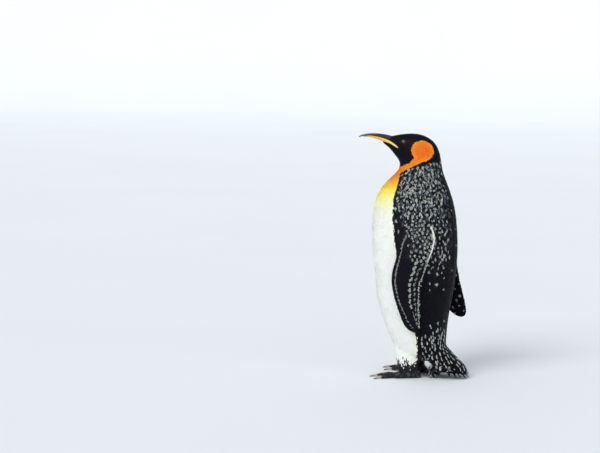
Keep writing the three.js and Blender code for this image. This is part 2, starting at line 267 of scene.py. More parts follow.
def edit_picked(obj, kind, elements, picked):
    """Starts an edit of one mesh with only the picked vertices or faces selected."""
    activate(obj)
    bpy.ops.object.mode_set(mode="EDIT")
    bpy.ops.mesh.select_mode(type=kind)
    bpy.ops.mesh.select_all(action="DESELECT")
    bpy.ops.object.mode_set(mode="OBJECT")
    elements.foreach_set("select", picked)
    bpy.ops.object.mode_set(mode="EDIT")


def modify(obj, kind, **settings):
    """Adds a modifier, sets it and applies it."""
    activate(obj)
    modifier = obj.modifiers.new(kind.lower(), kind)
    for key, value in settings.items():
        setattr(modifier, key, value)
    bpy.ops.object.modifier_apply(modifier=modifier.name)


def points_of(mesh):
    co = np.empty(len(mesh.vertices) * 3, np.float32)
    mesh.vertices.foreach_get("co", co)
    return co.reshape(-1, 3).astype(float)


def triangles_of(mesh):
    mesh.calc_loop_triangles()
    corners = np.empty(len(mesh.loop_triangles) * 3, np.int32)
    mesh.loop_triangles.foreach_get("vertices", corners)
    return corners.reshape(-1, 3)


def normals_of(mesh):
    no = np.empty(len(mesh.vertices) * 3, np.float32)
    mesh.vertex_normals.foreach_get("vector", no)
    return no.reshape(-1, 3).astype(float)


def place_points(mesh, points):
    mesh.vertices.foreach_set("co", np.ascontiguousarray(points, np.float32).ravel())
    mesh.update()


def bvh_of(obj):
    return BVHTree.FromPolygons(points_of(obj.data).tolist(), triangles_of(obj.data).tolist())


# ------------------------------------------------------------------ skin
FLESH = ["trunk", "neck", "head", "flipper_left", "flipper_right",
         "leg_left", "leg_right", "foot_left", "foot_right"]
BILL = ["bill_upper", "bill_lower"]
EYES = ["eye_left", "eye_right"]
SKIN_VOXEL = 0.0024
SKIN_KEPT = 0.36  # share of the remeshed faces that is kept
SKIN_TRIMMED = 0.95  # share of the skin's triangles that stays once the feathers are planted
BILL_CUT_Y = -0.122  # the skin ends inside the bill here, in the head's own frame
TAIL_ROOT = np.array((0, 0.110, 0.096))  # inside the rump, where all tail quills start
TIPS_CENTRE = np.array((0, 0.115, 0))  # the quills' tips lie round this place
TIPS_REACH = np.array((0.061, 0.098))  # aside and behind
SIDE_TIP_LIFT = 14 * MM
HEM_MIDDLE = np.array((0, 0.139, 0.0325))  # the coverts' solid core ends at a hem round this place
HEM_RADII = (0.051, 0.054)  # aside and behind
HEM_RISE = 0.152  # the hem rises by this share of its way back
COAT_DEPTH = {"body": 2.0 * MM, "head": 1.3 * MM, "face": 0.9 * MM, "flipper": 1.0 * MM}
FOOT_TOP = 0.036
BEHIND_FEET = 0.060  # nothing of a foot reaches further back
EYE_PLACE = (0.025, -0.043, 0.8715)  # left eye, in the head's own frame
EYE_OPENING = 6.7 * MM
EYE_DEPTH = 0.02  # how far out from an eye's middle the skin is shaped
LID_REACH = 9.8 * MM
LID_THICK = 0.8 * MM
LID_THINNED = 0.8  # share of that which the lid loses towards its outer end
LID_FLAT = 1.2 * MM  # the lid's full form goes this far out from the opening
OPENING_SINK = 1.5 * MM  # the skin in the opening lies this far inside the eyeball
EYE_FINE = (0.016, 0.0145)  # the skin is subdivided this near to an eye, once and once more
SKIN_SMOOTHED = 6  # rounds
CELL_SIZE = 3.6 * MM  # of the scaly skin on the feet
CELL_DEPTH = 0.45 * MM
CELL_SEED = 5
CELL_REPEAT = 64  # the cells repeat after so many
CELL_JITTER = 0.9
CELL_EDGE = 0.35  # of a cell's size
SOLE_EDGE = (0.001, 0.004)  # the grooves begin between these heights
TAIL_BACK, TAIL_TOP = (0.042, 0.062), (0.085, 0.135)  # where the skirt of coverts begins and ends
HEAD_COAT = (0.72, 0.80)  # levels where the head's short feathers take over
FACE_COAT = (-0.10, -0.05)
FOOT_COAT = (-0.004, 0.012)  # the coat ends between these, from the top of the foot
FLIPPER_ASIDE = 0.085  # a flipper's points lie further out than this
FLIPPER_HEIGHTS = (0.18, 0.65)
FLIPPER_NEAR = 0.02
FLIPPER_BLEND = (-0.003, 0.006)  # how much nearer the flipper is than the trunk


def cut_off(obj, place, direction):
    """Removes what lies beyond a plane and closes the cut."""
    edit_all(obj, lambda: bpy.ops.mesh.bisect(
        plane_co=place, plane_no=direction, use_fill=True, clear_outer=True,
    ))


def in_head_frame(direction):
    return Matrix.Rotation(HEAD_TURN, 3, "Z") @ Vector(direction)


def tail_tip(around):
    """Where the tail ends at an angle round its hem, from 0 at the back."""
    aside, back = np.sin(around) * TIPS_REACH[0], np.cos(around) * TIPS_REACH[1]
    return TIPS_CENTRE + np.stack([aside, back, SIDE_TIP_LIFT * np.sin(around) ** 2], -1)


def tail_angle(s):
    return np.arctan2(s[:, 0] / TIPS_REACH[0], (s[:, 1] - TIPS_CENTRE[1]) / TIPS_REACH[1])


def tail_share(s):
    """How much each place belongs to the tail's skirt of coverts."""
    return smooth(*TAIL_BACK, s[:, 1]) * (1 - smooth(*TAIL_TOP, s[:, 2]))


def hem_edge(around):
    """Where the core ends on the way to that tip."""
    aside, back = np.sin(around) * TIPS_REACH[0], np.cos(around) * TIPS_REACH[1]
    ahead = HEM_MIDDLE[1] - TIPS_CENTRE[1]
    square = (aside / HEM_RADII[0]) ** 2 + (back / HEM_RADII[1]) ** 2
    half = back * ahead / HEM_RADII[1] ** 2
    reach = (half + np.sqrt(half ** 2 + square * (1 - (ahead / HEM_RADII[1]) ** 2))) / square
    y = TIPS_CENTRE[1] + reach * back
    return np.stack([reach * aside, y, HEM_MIDDLE[2] + HEM_RISE * (y - HEM_MIDDLE[1])], -1)


def over_hem(s, length):
    """For feathers that bend over the hem: the way from root to end, how far the hem is and
    how far the tips of the quills are."""
    around = tail_angle(s)
    edge, tip = hem_edge(around), tail_tip(around)
    to_edge = np.linalg.norm(edge - s, axis=1)
    ends = edge + unit(tip - edge) * np.maximum(length - to_edge, 0.001)[:, None]
    return unit(ends - s), to_edge, to_edge + np.linalg.norm(tip - edge, axis=1)


def flipper_share(points):
    """How much each point belongs to a flipper, from 0 on the trunk to 1."""
    q = to_bird(points)
    share = np.zeros(len(q))
    trunk_tree = bvh_of(frame["nodes"]["trunk"])
    for side, sign in SIDES.items():
        tree = bvh_of(frame["nodes"][f"flipper_{side}"])
        low, high = FLIPPER_HEIGHTS
        beside = (q[:, 0] * sign > FLIPPER_ASIDE) & (q[:, 2] > low) & (q[:, 2] < high)
        for i in np.nonzero(beside)[0]:
            to_flipper = tree.find_nearest(points[i])[3]
            to_trunk = trunk_tree.find_nearest(points[i])[3]
            if to_flipper < FLIPPER_NEAR:
                share[i] = smooth(*FLIPPER_BLEND, to_trunk - to_flipper)
    return share


def coat_depth(points, share):
    """How deep the skin lies under the coat's outer surface."""
    s = straightened(to_bird(points))
    head = smooth(*HEAD_COAT, neck_level(s))
    face = (1 - smooth(*FACE_COAT, s[:, 1])) * head
    foot = 1 - smooth(FOOT_TOP + FOOT_COAT[0], FOOT_TOP + FOOT_COAT[1], s[:, 2])
    depth = COAT_DEPTH["body"] * (1 - head) + COAT_DEPTH["head"] * head
    depth = depth * (1 - face) + COAT_DEPTH["face"] * face
    depth = depth * (1 - share) + COAT_DEPTH["flipper"] * share
    return depth * (1 - foot)


def eye_middle(sign):
    return np.array(head_place(EYE_PLACE[0] * sign, *EYE_PLACE[1:]))


def gaze(sign):
    """The way an eye looks: sideways, a little forwards and up."""
    return np.array(in_head_frame((0.95 * sign, -0.30, 0.09)).normalized())


def shape_lids(points):
    """Draws the skin over each eyeball as a thin rim round its opening."""
    for sign in SIDES.values():
        centre, axis = eye_middle(sign), gaze(sign)
        offset = points - centre
        ahead = offset @ axis
        aside = offset - ahead[:, None] * axis
        reach = np.linalg.norm(aside, axis=1)
        near = (ahead > 0) & (reach < LID_REACH) & (ahead < EYE_DEPTH)
        open_part = near & (reach < EYE_OPENING)
        rim = EYE_RADIUS + LID_THICK * (1 - LID_THINNED * smooth(EYE_OPENING, LID_REACH, reach))
        lid_height = np.sqrt(np.maximum(rim ** 2 - reach ** 2, 0))
        blend = 1 - smooth(EYE_OPENING + LID_FLAT, LID_REACH, reach)
        height = np.where(near, ahead + (lid_height - ahead) * blend, ahead)
        inside = np.sqrt(np.maximum((EYE_RADIUS - OPENING_SINK) ** 2 - reach ** 2, 0))
        height = np.where(open_part, inside, height)
        points = np.where(near[:, None], centre + aside + height[:, None] * axis, points)
    return points


def subdivide_near(obj, chosen):
    """Subdivides the faces whose middles are chosen."""
    middles = np.empty(len(obj.data.polygons) * 3, np.float32)
    obj.data.polygons.foreach_get("center", middles)
    edit_picked(obj, "FACE", obj.data.polygons, chosen(middles.reshape(-1, 3).astype(float)))
    bpy.ops.mesh.subdivide(number_cuts=1)
    bpy.ops.mesh.quads_convert_to_tris()
    bpy.ops.object.mode_set(mode="OBJECT")


def near_eyes(points, reach):
    found = np.zeros(len(points), bool)
    for sign in SIDES.values():
        found |= np.linalg.norm(points - eye_middle(sign), axis=1) < reach
    return found


def cell_grooves(points, size, seed):
    """How near each point is to the line between two small cells: 1 on the line."""
    rng = np.random.default_rng(seed)
    jitter = rng.random((CELL_REPEAT,) * 3 + (3,)) * CELL_JITTER
    home = np.floor(points / size).astype(int)
    first = np.full(len(points), 1e9)
    second = first.copy()
    for step in np.ndindex(3, 3, 3):
        cell = home + np.array(step) - 1
        seat = (cell + jitter[tuple((cell % CELL_REPEAT).T)]) * size
        gap = np.linalg.norm(points - seat, axis=1)
        second = np.minimum(second, np.maximum(first, gap))
        first = np.minimum(first, gap)
    return 1 - smooth(0.0, CELL_EDGE, (second - first) / size)


def bare_foot(points, low=0.0, high=0.010):
    """1 on the bare skin of the feet, 0 above the ankles and on the tail."""
    ahead = to_bird(points)[:, 1] < BEHIND_FEET
    return ahead * (1 - smooth(FOOT_TOP + low, FOOT_TOP + high, points[:, 2]))


def make_skin():
    bill_core = copied_nodes("bill_core", BILL)
    cut_off(bill_core, head_place(0, BILL_CUT_Y, 0.86), in_head_frame((0, -1, 0)))
    stump = copied_nodes("rump_core", ["tail"])
    cut_off(stump, MIDLINE + Vector(HEM_MIDDLE), Vector((0, HEM_RISE, -1)))
    skin = copied_nodes("skin", FLESH + EYES)
    activate(skin, bill_core, stump)
    bpy.ops.object.join()
    modify(skin, "REMESH", mode="VOXEL", voxel_size=SKIN_VOXEL)
    modify(skin, "SMOOTH", factor=0.5, iterations=SKIN_SMOOTHED)
    modify(skin, "DECIMATE", ratio=SKIN_KEPT)
    points = points_of(skin.data)
    share = flipper_share(points)
    points = points - normals_of(skin.data) * coat_depth(points, share)[:, None]
    place_points(skin.data, points)
    subdivide_near(skin, lambda p: near_eyes(p, EYE_FINE[0]))
    subdivide_near(skin, lambda p: near_eyes(p, EYE_FINE[1]) | (bare_foot(p) > 0.9))
    points = shape_lids(points_of(skin.data))
    foot = bare_foot(points)
    above_sole = smooth(*SOLE_EDGE, points[:, 2])
    grooves = cell_grooves(points, CELL_SIZE, CELL_SEED)
    depth = CELL_DEPTH * grooves * foot * above_sole
    points = points - normals_of(skin.data) * depth[:, None]
    points[:, 2] = np.maximum(points[:, 2], 0)
    place_points(skin.data, points)
    activate(skin)
    bpy.ops.object.shade_smooth()
    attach(skin, "root")
    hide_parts(*FLESH)
    return skin


# ------------------------------------------------------------------ where the colours lie
# Tables of markings give a value at a few heights, or at a few distances behind the upright line.
WHITE_EDGE = {  # height: distance behind the upright line
    0.05: 0.030, 0.10: 0.038, 0.15: 0.040, 0.20: 0.030, 0.28: 0.008, 0.36: -0.010, 0.45: -0.028,
    0.52: -0.040, 0.60: -0.050, 0.665: -0.053, 0.70: -0.046, 0.743: -0.045, 0.79: -0.047,
}
EDGE_LINE = 5.2 * MM  # half the black line along that edge
HOOD_EDGE = {  # distance behind the upright line: height of the hood's lower edge
    -0.075: 0.787, -0.062: 0.785, -0.056: 0.772, -0.047: 0.762, -0.025: 0.770, -0.004: 0.778,
    0.028: 0.787, 0.060: 0.796,
}
EAR_MIDDLE = (0.025, 0.839)
EAR_RADII = (0.042, 0.036)
EAR_TILT = math.radians(20)  # its long way falls towards the nape
EAR_STRAP = (  # distance behind the line, height and half width
    (0.020, 0.815, 0.018), (-0.013, 0.790, 0.0085), (-0.047, 0.771, 0.010), (-0.060, 0.765, 0.010),
)
EAR_DEEP = 0.022  # the patch deepens in colour over this way in from its edge
EAR_WARMTH = (0.82, 0.12)  # at its edge, and what is added at its middle
WARMTH = {  # height: how far from white to orange the front is
    0.575: 0.0, 0.615: 0.06, 0.655: 0.20, 0.685: 0.36, 0.710: 0.58, 0.740: 0.80, 0.785: 1.0,
}
SILVER = {  # height: how silver the back is
    0.36: 0.0, 0.48: 0.20, 0.58: 0.50, 0.66: 1.0, 0.80: 1.0,
}
MARBLE = 0.012  # size of the silver clouds among the black
FLECK_SLANT = 0.9  # on the rump the flecks begin this much lower for each unit ahead of the back
LEG_DARK = (0.010, 0.022)  # behind the white edge above the legs, the flecks begin between these
FLECKS = {  # height: how thickly the flecks stand
    0.05: 0.9, 0.14: 0.9, 0.19: 0.45, 0.23: 0.0, 0.33: 0.0, 0.37: 0.30, 0.46: 0.60, 0.58: 0.75,
    0.68: 1.0,
}
SPINE = {  # height: half the width of the dark band down the back
    0.30: 0.048, 0.45: 0.042, 0.55: 0.042, 0.64: 0.036, 0.72: 0.028, 0.80: 0.024,
}
SPINE_RIM = (0.72, 1.0)  # the band fades between these shares of that width
SPINE_BACK, SPINE_LOW = (0.02, 0.06), (0.2, 0.3)
SPINE_DARK, HOLLOW_SHADE = 0.92, 0.9
SHOULDER_SHADE_PLACE = (-0.012, 0.545)  # painted shade: plain black, without silver or flecks, in the hollow in front of each shoulder: behind the line, height
SHOULDER_RIM, SHOULDER_HALF = 0.02, (0.07, 0.10)
FLANK_BACK, FLANK_LOW, FLANK_HIGH = (0.060, 0.095), (0.22, 0.26), (0.42, 0.50)  # a plain dark flank
EDGE_SOFT = 0.001  # how softly one colour ends at another
EDGE_FADE = 0.003
HOOD_SOFT = 0.0015
BEYOND_EAR = (0.003, 0.007)  # the silver begins between these, out from the ear patch
RUMP_TOP = (0.22, 0.26)
CREAM_DEPTH, CREAM_HIGH = 0.035, (0.5, 0.7)
CLOUD_EDGE = 0.20


def along(table, places):
    return np.interp(places, list(table), list(table.values()))


def ear_reach(y, z):
    """How far outside the ear patch a place is; below 0 inside it."""
    back, up = y - EAR_MIDDLE[0], z - EAR_MIDDLE[1]
    cos, sin = math.cos(EAR_TILT), math.sin(EAR_TILT)
    ring = np.hypot((back * cos - up * sin) / EAR_RADII[0], (back * sin + up * cos) / EAR_RADII[1])
    reach = (ring - 1) * EAR_RADII[0]
    for (ya, za, ra), (yb, zb, rb) in zip(EAR_STRAP, EAR_STRAP[1:]):
        dy, dz = yb - ya, zb - za
        t = np.clip(((y - ya) * dy + (z - za) * dz) / (dy * dy + dz * dz), 0, 1)
        gap = np.hypot(y - ya - t * dy, z - za - t * dz) - (ra + (rb - ra) * t)
        reach = np.minimum(reach, gap)
    return reach


FLIPPER_TOP, FLIPPER_END = 0.05, 0.02  # the height of each end that its middle is taken from
RING_LEVELS = np.linspace(-0.1, 1.02, 15)  # shares of a flipper's length where its width is read
RING_HALF = 0.05
OUTER_FACE = (-0.25, 0.15)


class Flipper:
    """Where a place lies on one flipper: along it, across it, and on which face."""

    def __init__(self, side):
        points = points_of(frame["nodes"][f"flipper_{side}"].data)
        self.sign = SIDES[side]
        high, low = points[:, 2].max(), points[:, 2].min()
        self.top = points[points[:, 2] > high - FLIPPER_TOP].mean(0)
        tip = points[points[:, 2] < low + FLIPPER_END].mean(0)
        self.down = unit(tip - self.top)
        self.length = np.linalg.norm(tip - self.top)
        self.out = unit(np.cross(self.down, (0, 1, 0)))
        self.out *= np.sign(self.out[0]) * self.sign
        self.back = unit(np.cross(self.out, self.down))
        self.back *= np.sign(self.back[1])
        down = (points - self.top) @ self.down / self.length
        back = points @ self.back
        rings = {level: back[np.abs(down - level) < RING_HALF] for level in RING_LEVELS}
        rings = {level: ring for level, ring in rings.items() if len(ring) > 3}
        self.lead = {level: ring.min() for level, ring in rings.items()}
        self.trail = {level: ring.max() for level, ring in rings.items()}

    def place(self, points, normals):
        down = (points - self.top) @ self.down / self.length
        lead, trail = along(self.lead, down), along(self.trail, down)
        across = 2 * (points @ self.back - lead) / (trail - lead) - 1
        return down, across, smooth(*OUTER_FACE, normals @ self.out)


# Rows of small pale dashes on the flipper's outer face: places (down: across) along the row,
# half a dash's width across, the share of the row that dashes fill, how many there are in the
# flipper's whole length, how far they slant, and how pale they are.
DASH_ROWS = (
    (
        {0.06: -0.46, 0.16: -0.70, 0.46: -0.74, 0.74: -0.60, 0.90: -0.32, 0.97: 0.10},
        0.050, 0.95, 26, 0.0, 0.55,
    ),
    ({0.31: 0.33, 0.45: 0.25, 0.74: 0.20, 0.80: 0.30}, 0.090, 0.66, 19, 0.12, 0.90),
    ({0.80: 0.30, 0.92: 0.55}, 0.040, 0.90, 30, 0.0, 0.50),
    ({0.32: 0.72, 0.43: 0.54, 0.68: 0.54, 0.94: 0.60}, 0.060, 0.66, 21, 0.10, 0.50),
    ({0.30: 0.88, 0.49: 0.87, 0.56: 0.81, 0.96: 0.80}, 0.045, 0.88, 34, 0.0, 0.95),
)
# What follows is in the same shares: down a flipper, and across it from -1 to 1.
DARK_TIP, TIP_SLANT = (0.48, 0.62), 0.12  # the dark end of the inner face
INNER_LEAD = (-0.72, -0.55)  # the inner face's dark leading edge ends between these
INNER_FLECKS, INNER_FLECKS_FROM = 0.35, (-0.75, -0.45)  # on that dark end
LINE_ACROSS, LINE_FROM, LINE_TO = (0.87, 0.90), (-0.08, -0.04), (0.32, 0.35)  # white trailing line
ARM, ARM_SLANT, ARM_LEAD, ARM_SILVER = (0.16, 0.36), 0.10, (-0.45, 0.05), 0.7  # the silver arm
BAND_MIDDLE = {0.0: 0.20, 0.2: 0.30, 0.35: 0.50, 0.45: 0.55}  # the flecked band down the arm
BAND_HALF = {0.0: 0.75, 0.2: 0.55, 0.35: 0.36, 0.45: 0.20}
BAND_FLECKS = {0.0: 0.9, 0.3: 0.9, 0.38: 0.5, 0.44: 0.0}
BAND_RIM = 0.12
DASH_ROUND = 1.1


def flipper_marks(down, across, outer):
    """White, silver and fleck of a flipper's feathers, and the dashes that form rows on it."""
    dark_tip = smooth(*DARK_TIP, down + TIP_SLANT * across)
    inner_white = (1 - outer) * smooth(*INNER_LEAD, across) * (1 - dark_tip)
    line = smooth(*LINE_ACROSS, across) * smooth(*LINE_FROM, down) * (1 - smooth(*LINE_TO, down))
    white = np.maximum(inner_white, line * outer)
    arm = 1 - smooth(*ARM, down + ARM_SLANT * across)
    silver = outer * ARM_SILVER * arm * smooth(*ARM_LEAD, across)
    half = along(BAND_HALF, down)
    band = 1 - smooth(half, half + BAND_RIM, np.abs(across - along(BAND_MIDDLE, down)))
    fleck = outer * band * along(BAND_FLECKS, down)
    inner = INNER_FLECKS * (1 - outer) * dark_tip * smooth(*INNER_FLECKS_FROM, across)
    fleck = np.maximum(fleck, inner)
    dash = np.zeros(len(down))
    for row, half, filled, number, slant, pale in DASH_ROWS:
        ends = (down > min(row)) * (down < max(row))
        aside = (across - along(row, down)) / half
        turn = down * number + slant * aside
        ahead = 2 * np.abs(turn - np.floor(turn) - 0.5) / filled
        dash = np.maximum(dash, pale * ends * (ahead ** 2 + aside ** 2 < DASH_ROUND))
    return white, silver, fleck, dash * outer


def markings(points, normals, share, flippers):
    """How white, warm, silver, flecked and dashed each place is, and how creamy its white is."""
    s = straightened(to_bird(points))
    x, y, z = s.T
    behind = y - along(WHITE_EDGE, z)
    hood = smooth(-HOOD_SOFT, HOOD_SOFT, z - along(HOOD_EDGE, y))
    from_ear = ear_reach(y, z)
    ear = 1 - smooth(-EDGE_SOFT, EDGE_SOFT, from_ear)
    front = (1 - smooth(-EDGE_LINE - EDGE_SOFT, -EDGE_LINE + EDGE_SOFT, behind)) * (1 - hood)
    back = smooth(EDGE_LINE - EDGE_SOFT, EDGE_LINE + EDGE_FADE, behind) * (1 - hood)
    white = np.maximum(front, ear)
    ear_warmth = EAR_WARMTH[0] + EAR_WARMTH[1] * smooth(0.0, EAR_DEEP, -from_ear)
    warm = np.where(ear > 0.1, ear_warmth, along(WARMTH, z))
    spine = (1 - smooth(*SPINE_RIM, np.abs(x) / along(SPINE, z))) * smooth(*SPINE_BACK, y)
    # painted shade: in the hollow in front of each shoulder the back is painted plain black, without
    # silver or flecks
    shoulder, shoulder_height = SHOULDER_SHADE_PLACE
    hollow_shade = 1 - smooth(shoulder - SHOULDER_RIM, shoulder, y)
    hollow_shade = hollow_shade * (1 - smooth(*SHOULDER_HALF, np.abs(z - shoulder_height)))
    flank = (1 - smooth(*FLANK_BACK, y)) * smooth(*FLANK_LOW, z) * (1 - smooth(*FLANK_HIGH, z))
    # the dark band down the back and the dark flank are the bird's own; the dark in the shoulder
    # hollows is painted shade
    dark = np.maximum(SPINE_DARK * spine * smooth(*SPINE_LOW, z), HOLLOW_SHADE * hollow_shade)
    dark = np.maximum(dark, flank)
    beyond_ear = smooth(*BEYOND_EAR, from_ear)
    silver = back * along(SILVER, z) * (1 - dark) * beyond_ear
    low = 1 - smooth(*RUMP_TOP, z)
    flecked = along(FLECKS, z + FLECK_SLANT * low * np.clip(0.10 - y, 0, 0.1))
    fleck = back * flecked * (1 - dark) * beyond_ear * (1 - low * (1 - smooth(*LEG_DARK, behind)))
    dash = np.zeros(len(x))
    cream = 1 - smooth(0.0, CREAM_DEPTH, -behind - EDGE_LINE)
    cream = cream * (1 - smooth(*CREAM_HIGH, z))
    for flipper in flippers:
        mine = share * (np.sign(x) == flipper.sign)
        on_flipper = flipper_marks(*flipper.place(points, normals))
        white, silver, fleck, dash = (
            old * (1 - mine) + new * mine
            for old, new in zip((white, silver, fleck, dash), on_flipper)
        )
        warm = warm * (1 - smooth(0.3, 0.6, mine))
    cloud = np.array([noise.noise(Vector(point)) for point in points / MARBLE])
    silver = silver * smooth(-CLOUD_EDGE, CLOUD_EDGE, cloud)
    return {
        "white": white, "warm": warm, "silver": silver, "fleck": fleck, "cream": cream, "dash": dash,
    }


def set_attribute(mesh, name, *columns):
    """Writes up to three columns of numbers as one vector per point."""
    values = np.zeros((len(mesh.vertices), 3), np.float32)
    for i, column in enumerate(columns):
        values[:, i] = column
    mesh.attributes.new(name, "FLOAT_VECTOR", "POINT").data.foreach_set("vector", values.ravel())


# ------------------------------------------------------------------ plumage
LIE_PATH = (  # the feathers point along this line, from the bill back and down
    (-0.115, 0.878), (-0.080, 0.870), (-0.040, 0.864), (0.000, 0.850), (0.022, 0.820),
    (0.015, 0.778), (0.008, 0.748), (0.000, 0.709), (0.000, 0.606), (0.002, 0.380),
    (0.009, 0.183), (0.024, 0.087), (0.040, 0.020),
)
LIE_STEP = 0.008
LIE_BLUR = 0.030
FLIPPER_SLANT = (0.10, 0.14)  # feathers slant back on a flipper, and more towards its hind edge
ROUND_VANE = ((0.30, 0.62, 0.88), (0.85, 1.0, 0.66))  # cross rows along it, and half widths there
POINTED_VANE = ((0.25, 0.55, 0.80), (0.85, 1.0, 0.58))
SMALL_VANE = ((0.38, 0.80), (0.95, 0.80))
ROOT_SINK = 0.3 * MM
HEM_BEND = 0.45  # how sharply feathers turn over the hem
FLOOR_ROOM = 2.0 * MM
EYE_BARE = 8.6 * MM  # no feather grows nearer to the line that an eye looks along
LID_BARE = 7.9 * MM  # feathers that would reach nearer are shortened
LEAST_KEPT = 0.2  # of their length
TAIL_BARE, ANKLE_BARE = 0.006, 0.002  # above the floor, and above the top of the foot
BILL_ROOT = (-0.055, 0.83)  # only ahead of and above this can a root lie in the bill
BILL_BARE = 0.0008
COAT_SEED, VANE_SEED, TAIL_SEED = 11, 12, 21
SEEN_AT = 0.55  # a feather is coloured for the place this far along it
WANDER, WANDER_LOW, WANDER_TOP = 0.6 * MM, 1.5 * MM, (0.12, 0.3)  # how far that place strays
WARM_VARIED = 0.045
SILVER_CLEAR = (1.05, 1.6)  # silver returns between these, in radii from a fleck's middle
ANKLE, ANKLE_BLUR = (0.054, 0.083), 0.009  # the white ends at the ankle between these heights
ANKLE_LONGER = 0.35
LENGTH_VARIED, HALF_VARIED, LIFT_VARIED = 0.09, 0.07, (0.75, 1.1)
ROOTS_FITTING = 0.7  # about how many fit in a square of the spacing
CHOICE_EXCESS = 3.4  # candidates for each of those
PLUME_NUMBERS = {"paint": ("white", "warm", "silver"), "mood": ("fleck", "cream", "tipped")}
TUFT_PATCH = 0.003  # size of one feather on the flat unwrap
UNWRAP_STATIONS = 120
UNWRAP_FACES = (0.25, 0.75)  # middles of a flipper's outer and inner face on it
UNWRAP_HALF = 0.23  # half a face's width on it
VANE_YAW = math.radians(5)
VANE_ROLL = math.radians(5)
VANE_ARCH = 0.012  # of the length
VANE_RIDGE = 0.10  # of the half width
FLECK_APART = 11.5 * MM  # least distance between flecks where they stand closest
FLECK_RADIUS = 4.3 * MM
FLECK_STRETCH = 1.35  # its length for its width
FLECK_LEAST = 0.05
FLECK_VARIED, FLECK_SHINE = (0.65, 1.2), (0.5, 1.0)
FLECK_LIFT, DASH_LIFT, FLECK_WIDER = 0.4 * MM, 0.15 * MM, 0.15
NEAREST_FLECKS = 4
LEAD_APART = 12.5 * MM  # least distance between the big streaked feathers on the rump and tail
LEAD_TOP, LEAD_BLUR = (0.135, 0.200), 0.010  # they thin out between these heights
LEAD_SHINE = (0.6, 1.0)
LEAD_SIZE = (40 * MM, 6.2 * MM, 4.4 * MM)  # their length, half width and tip height on the tail
RUMP_LEAD_SIZE = (29 * MM, 4.5 * MM, 3.4 * MM)
HEM_REACH = 0.80  # of the way to the tips of the quills, for feathers at the hem
HEM_SHORT = 22 * MM  # feathers end about this far short of the quills' tips
HEM_VARIED = (0.6, 1.3)
HEM_LEAST = 8 * MM
HANG_FROM = (-2 * MM, 5 * MM)  # feathers hang free when they pass the hem by this


def vane_template(rows, widths):
    """One closed vane: (along, across, ridge) of each point, and its triangles."""
    shape = [(0, 0, 0)]
    for row, width in zip(rows, widths):
        shape += [(row, -width, 0), (row, 0, 1), (row, width, 0)]
    shape.append((1, 0, 0))
    tip = len(shape) - 1
    first, last = (1, 2, 3), (tip - 3, tip - 2, tip - 1)
    faces = [(0, first[0], first[1]), (0, first[1], first[2]), (0, first[2], first[0])]
    for i in range(len(rows) - 1):
        low, ridge, high = (1 + 3 * i + k for k in range(3))
        next_low, next_ridge, next_high = (v + 3 for v in (low, ridge, high))
        faces += [(low, next_low, next_ridge), (low, next_ridge, ridge)]
        faces += [(ridge, next_ridge, next_high), (ridge, next_high, high)]
        faces += [(low, high, next_high), (low, next_high, next_low)]
    faces += [(last[0], tip, last[1]), (last[1], tip, last[2]), (last[0], last[2], tip)]
    return np.array(shape, float), np.array(faces)


PATH = np.array(LIE_PATH)
PATH_REACH = np.concatenate(([0], np.cumsum(np.hypot(*np.diff(PATH, axis=0).T))))


def stations_on_path(stations):
    """Places at these lengths along the line that feathers follow, and its way there."""
    line = np.stack([np.interp(stations, PATH_REACH, PATH[:, k]) for k in range(2)], 1)
    way = np.gradient(line, axis=0)
    return line, way / np.linalg.norm(way, axis=1)[:, None]


def lie_of_feathers(points, normals, share, flippers, length, hang):
    """The way each feather points, along the surface or free of it."""
    q = to_bird(points)
    s = straightened(q)
    line, way = stations_on_path(np.arange(0, PATH_REACH[-1], LIE_STEP))
    gap = np.linalg.norm(s[:, None, 1:] - line[None], axis=2)
    weight = np.exp(-((gap - gap.min(1)[:, None]) / LIE_BLUR) ** 2)
    level_way = weight @ way / weight.sum(1)[:, None]
    turn = HEAD_TURN * smooth(TURN_FROM, TURN_TO, neck_level(s))
    back, up = level_way.T
    lie = np.stack([-np.sin(turn) * back, np.cos(turn) * back, up], 1)
    rump = tail_share(s)[:, None]
    lie = lie * (1 - rump) + unit(tail_tip(tail_angle(s)) - s) * rump
    free = over_hem(s, length)[0]
    for flipper in flippers:
        mine = (share * (np.sign(q[:, 0]) == flipper.sign))[:, None]
        across = flipper.place(points, normals)[1]
        slant = FLIPPER_SLANT[0] + FLIPPER_SLANT[1] * across
        lie = lie * (1 - mine) + (flipper.down + slant[:, None] * flipper.back) * mine
    lie -= normals * np.sum(lie * normals, 1)[:, None]
    return unit(unit(lie) * (1 - hang)[:, None] + free * hang[:, None])


FEATHER_SIZES = {  # spacing, length, half width and tip height, in millimetres
    "body": (3.0, 15.0, 2.5, 1.7),
    "neck": (2.5, 11.0, 2.0, 1.4),
    "head": (1.9, 7.0, 1.45, 1.1),
    "face": (1.45, 4.6, 1.05, 0.8),
    "leg": (2.9, 13.0, 2.2, 1.8),
    "above_rump": (3.7, 21.0, 2.9, 2.4),
    "rump": (4.2, 32.0, 3.6, 2.6),
    "flipper": (1.9, 7.0, 1.5, 0.9),
}
NECK_LEVELS, HEAD_LEVELS = (0.62, 0.74), (0.74, 0.82)  # where the sizes of neck and head set in
FACE_BACK = (-0.095, -0.03)
LEG_TOP = (0.07, 0.13)
ABOVE_RUMP_TOP, ABOVE_RUMP_FRONT = (0.13, 0.24), (0.035, 0.07)


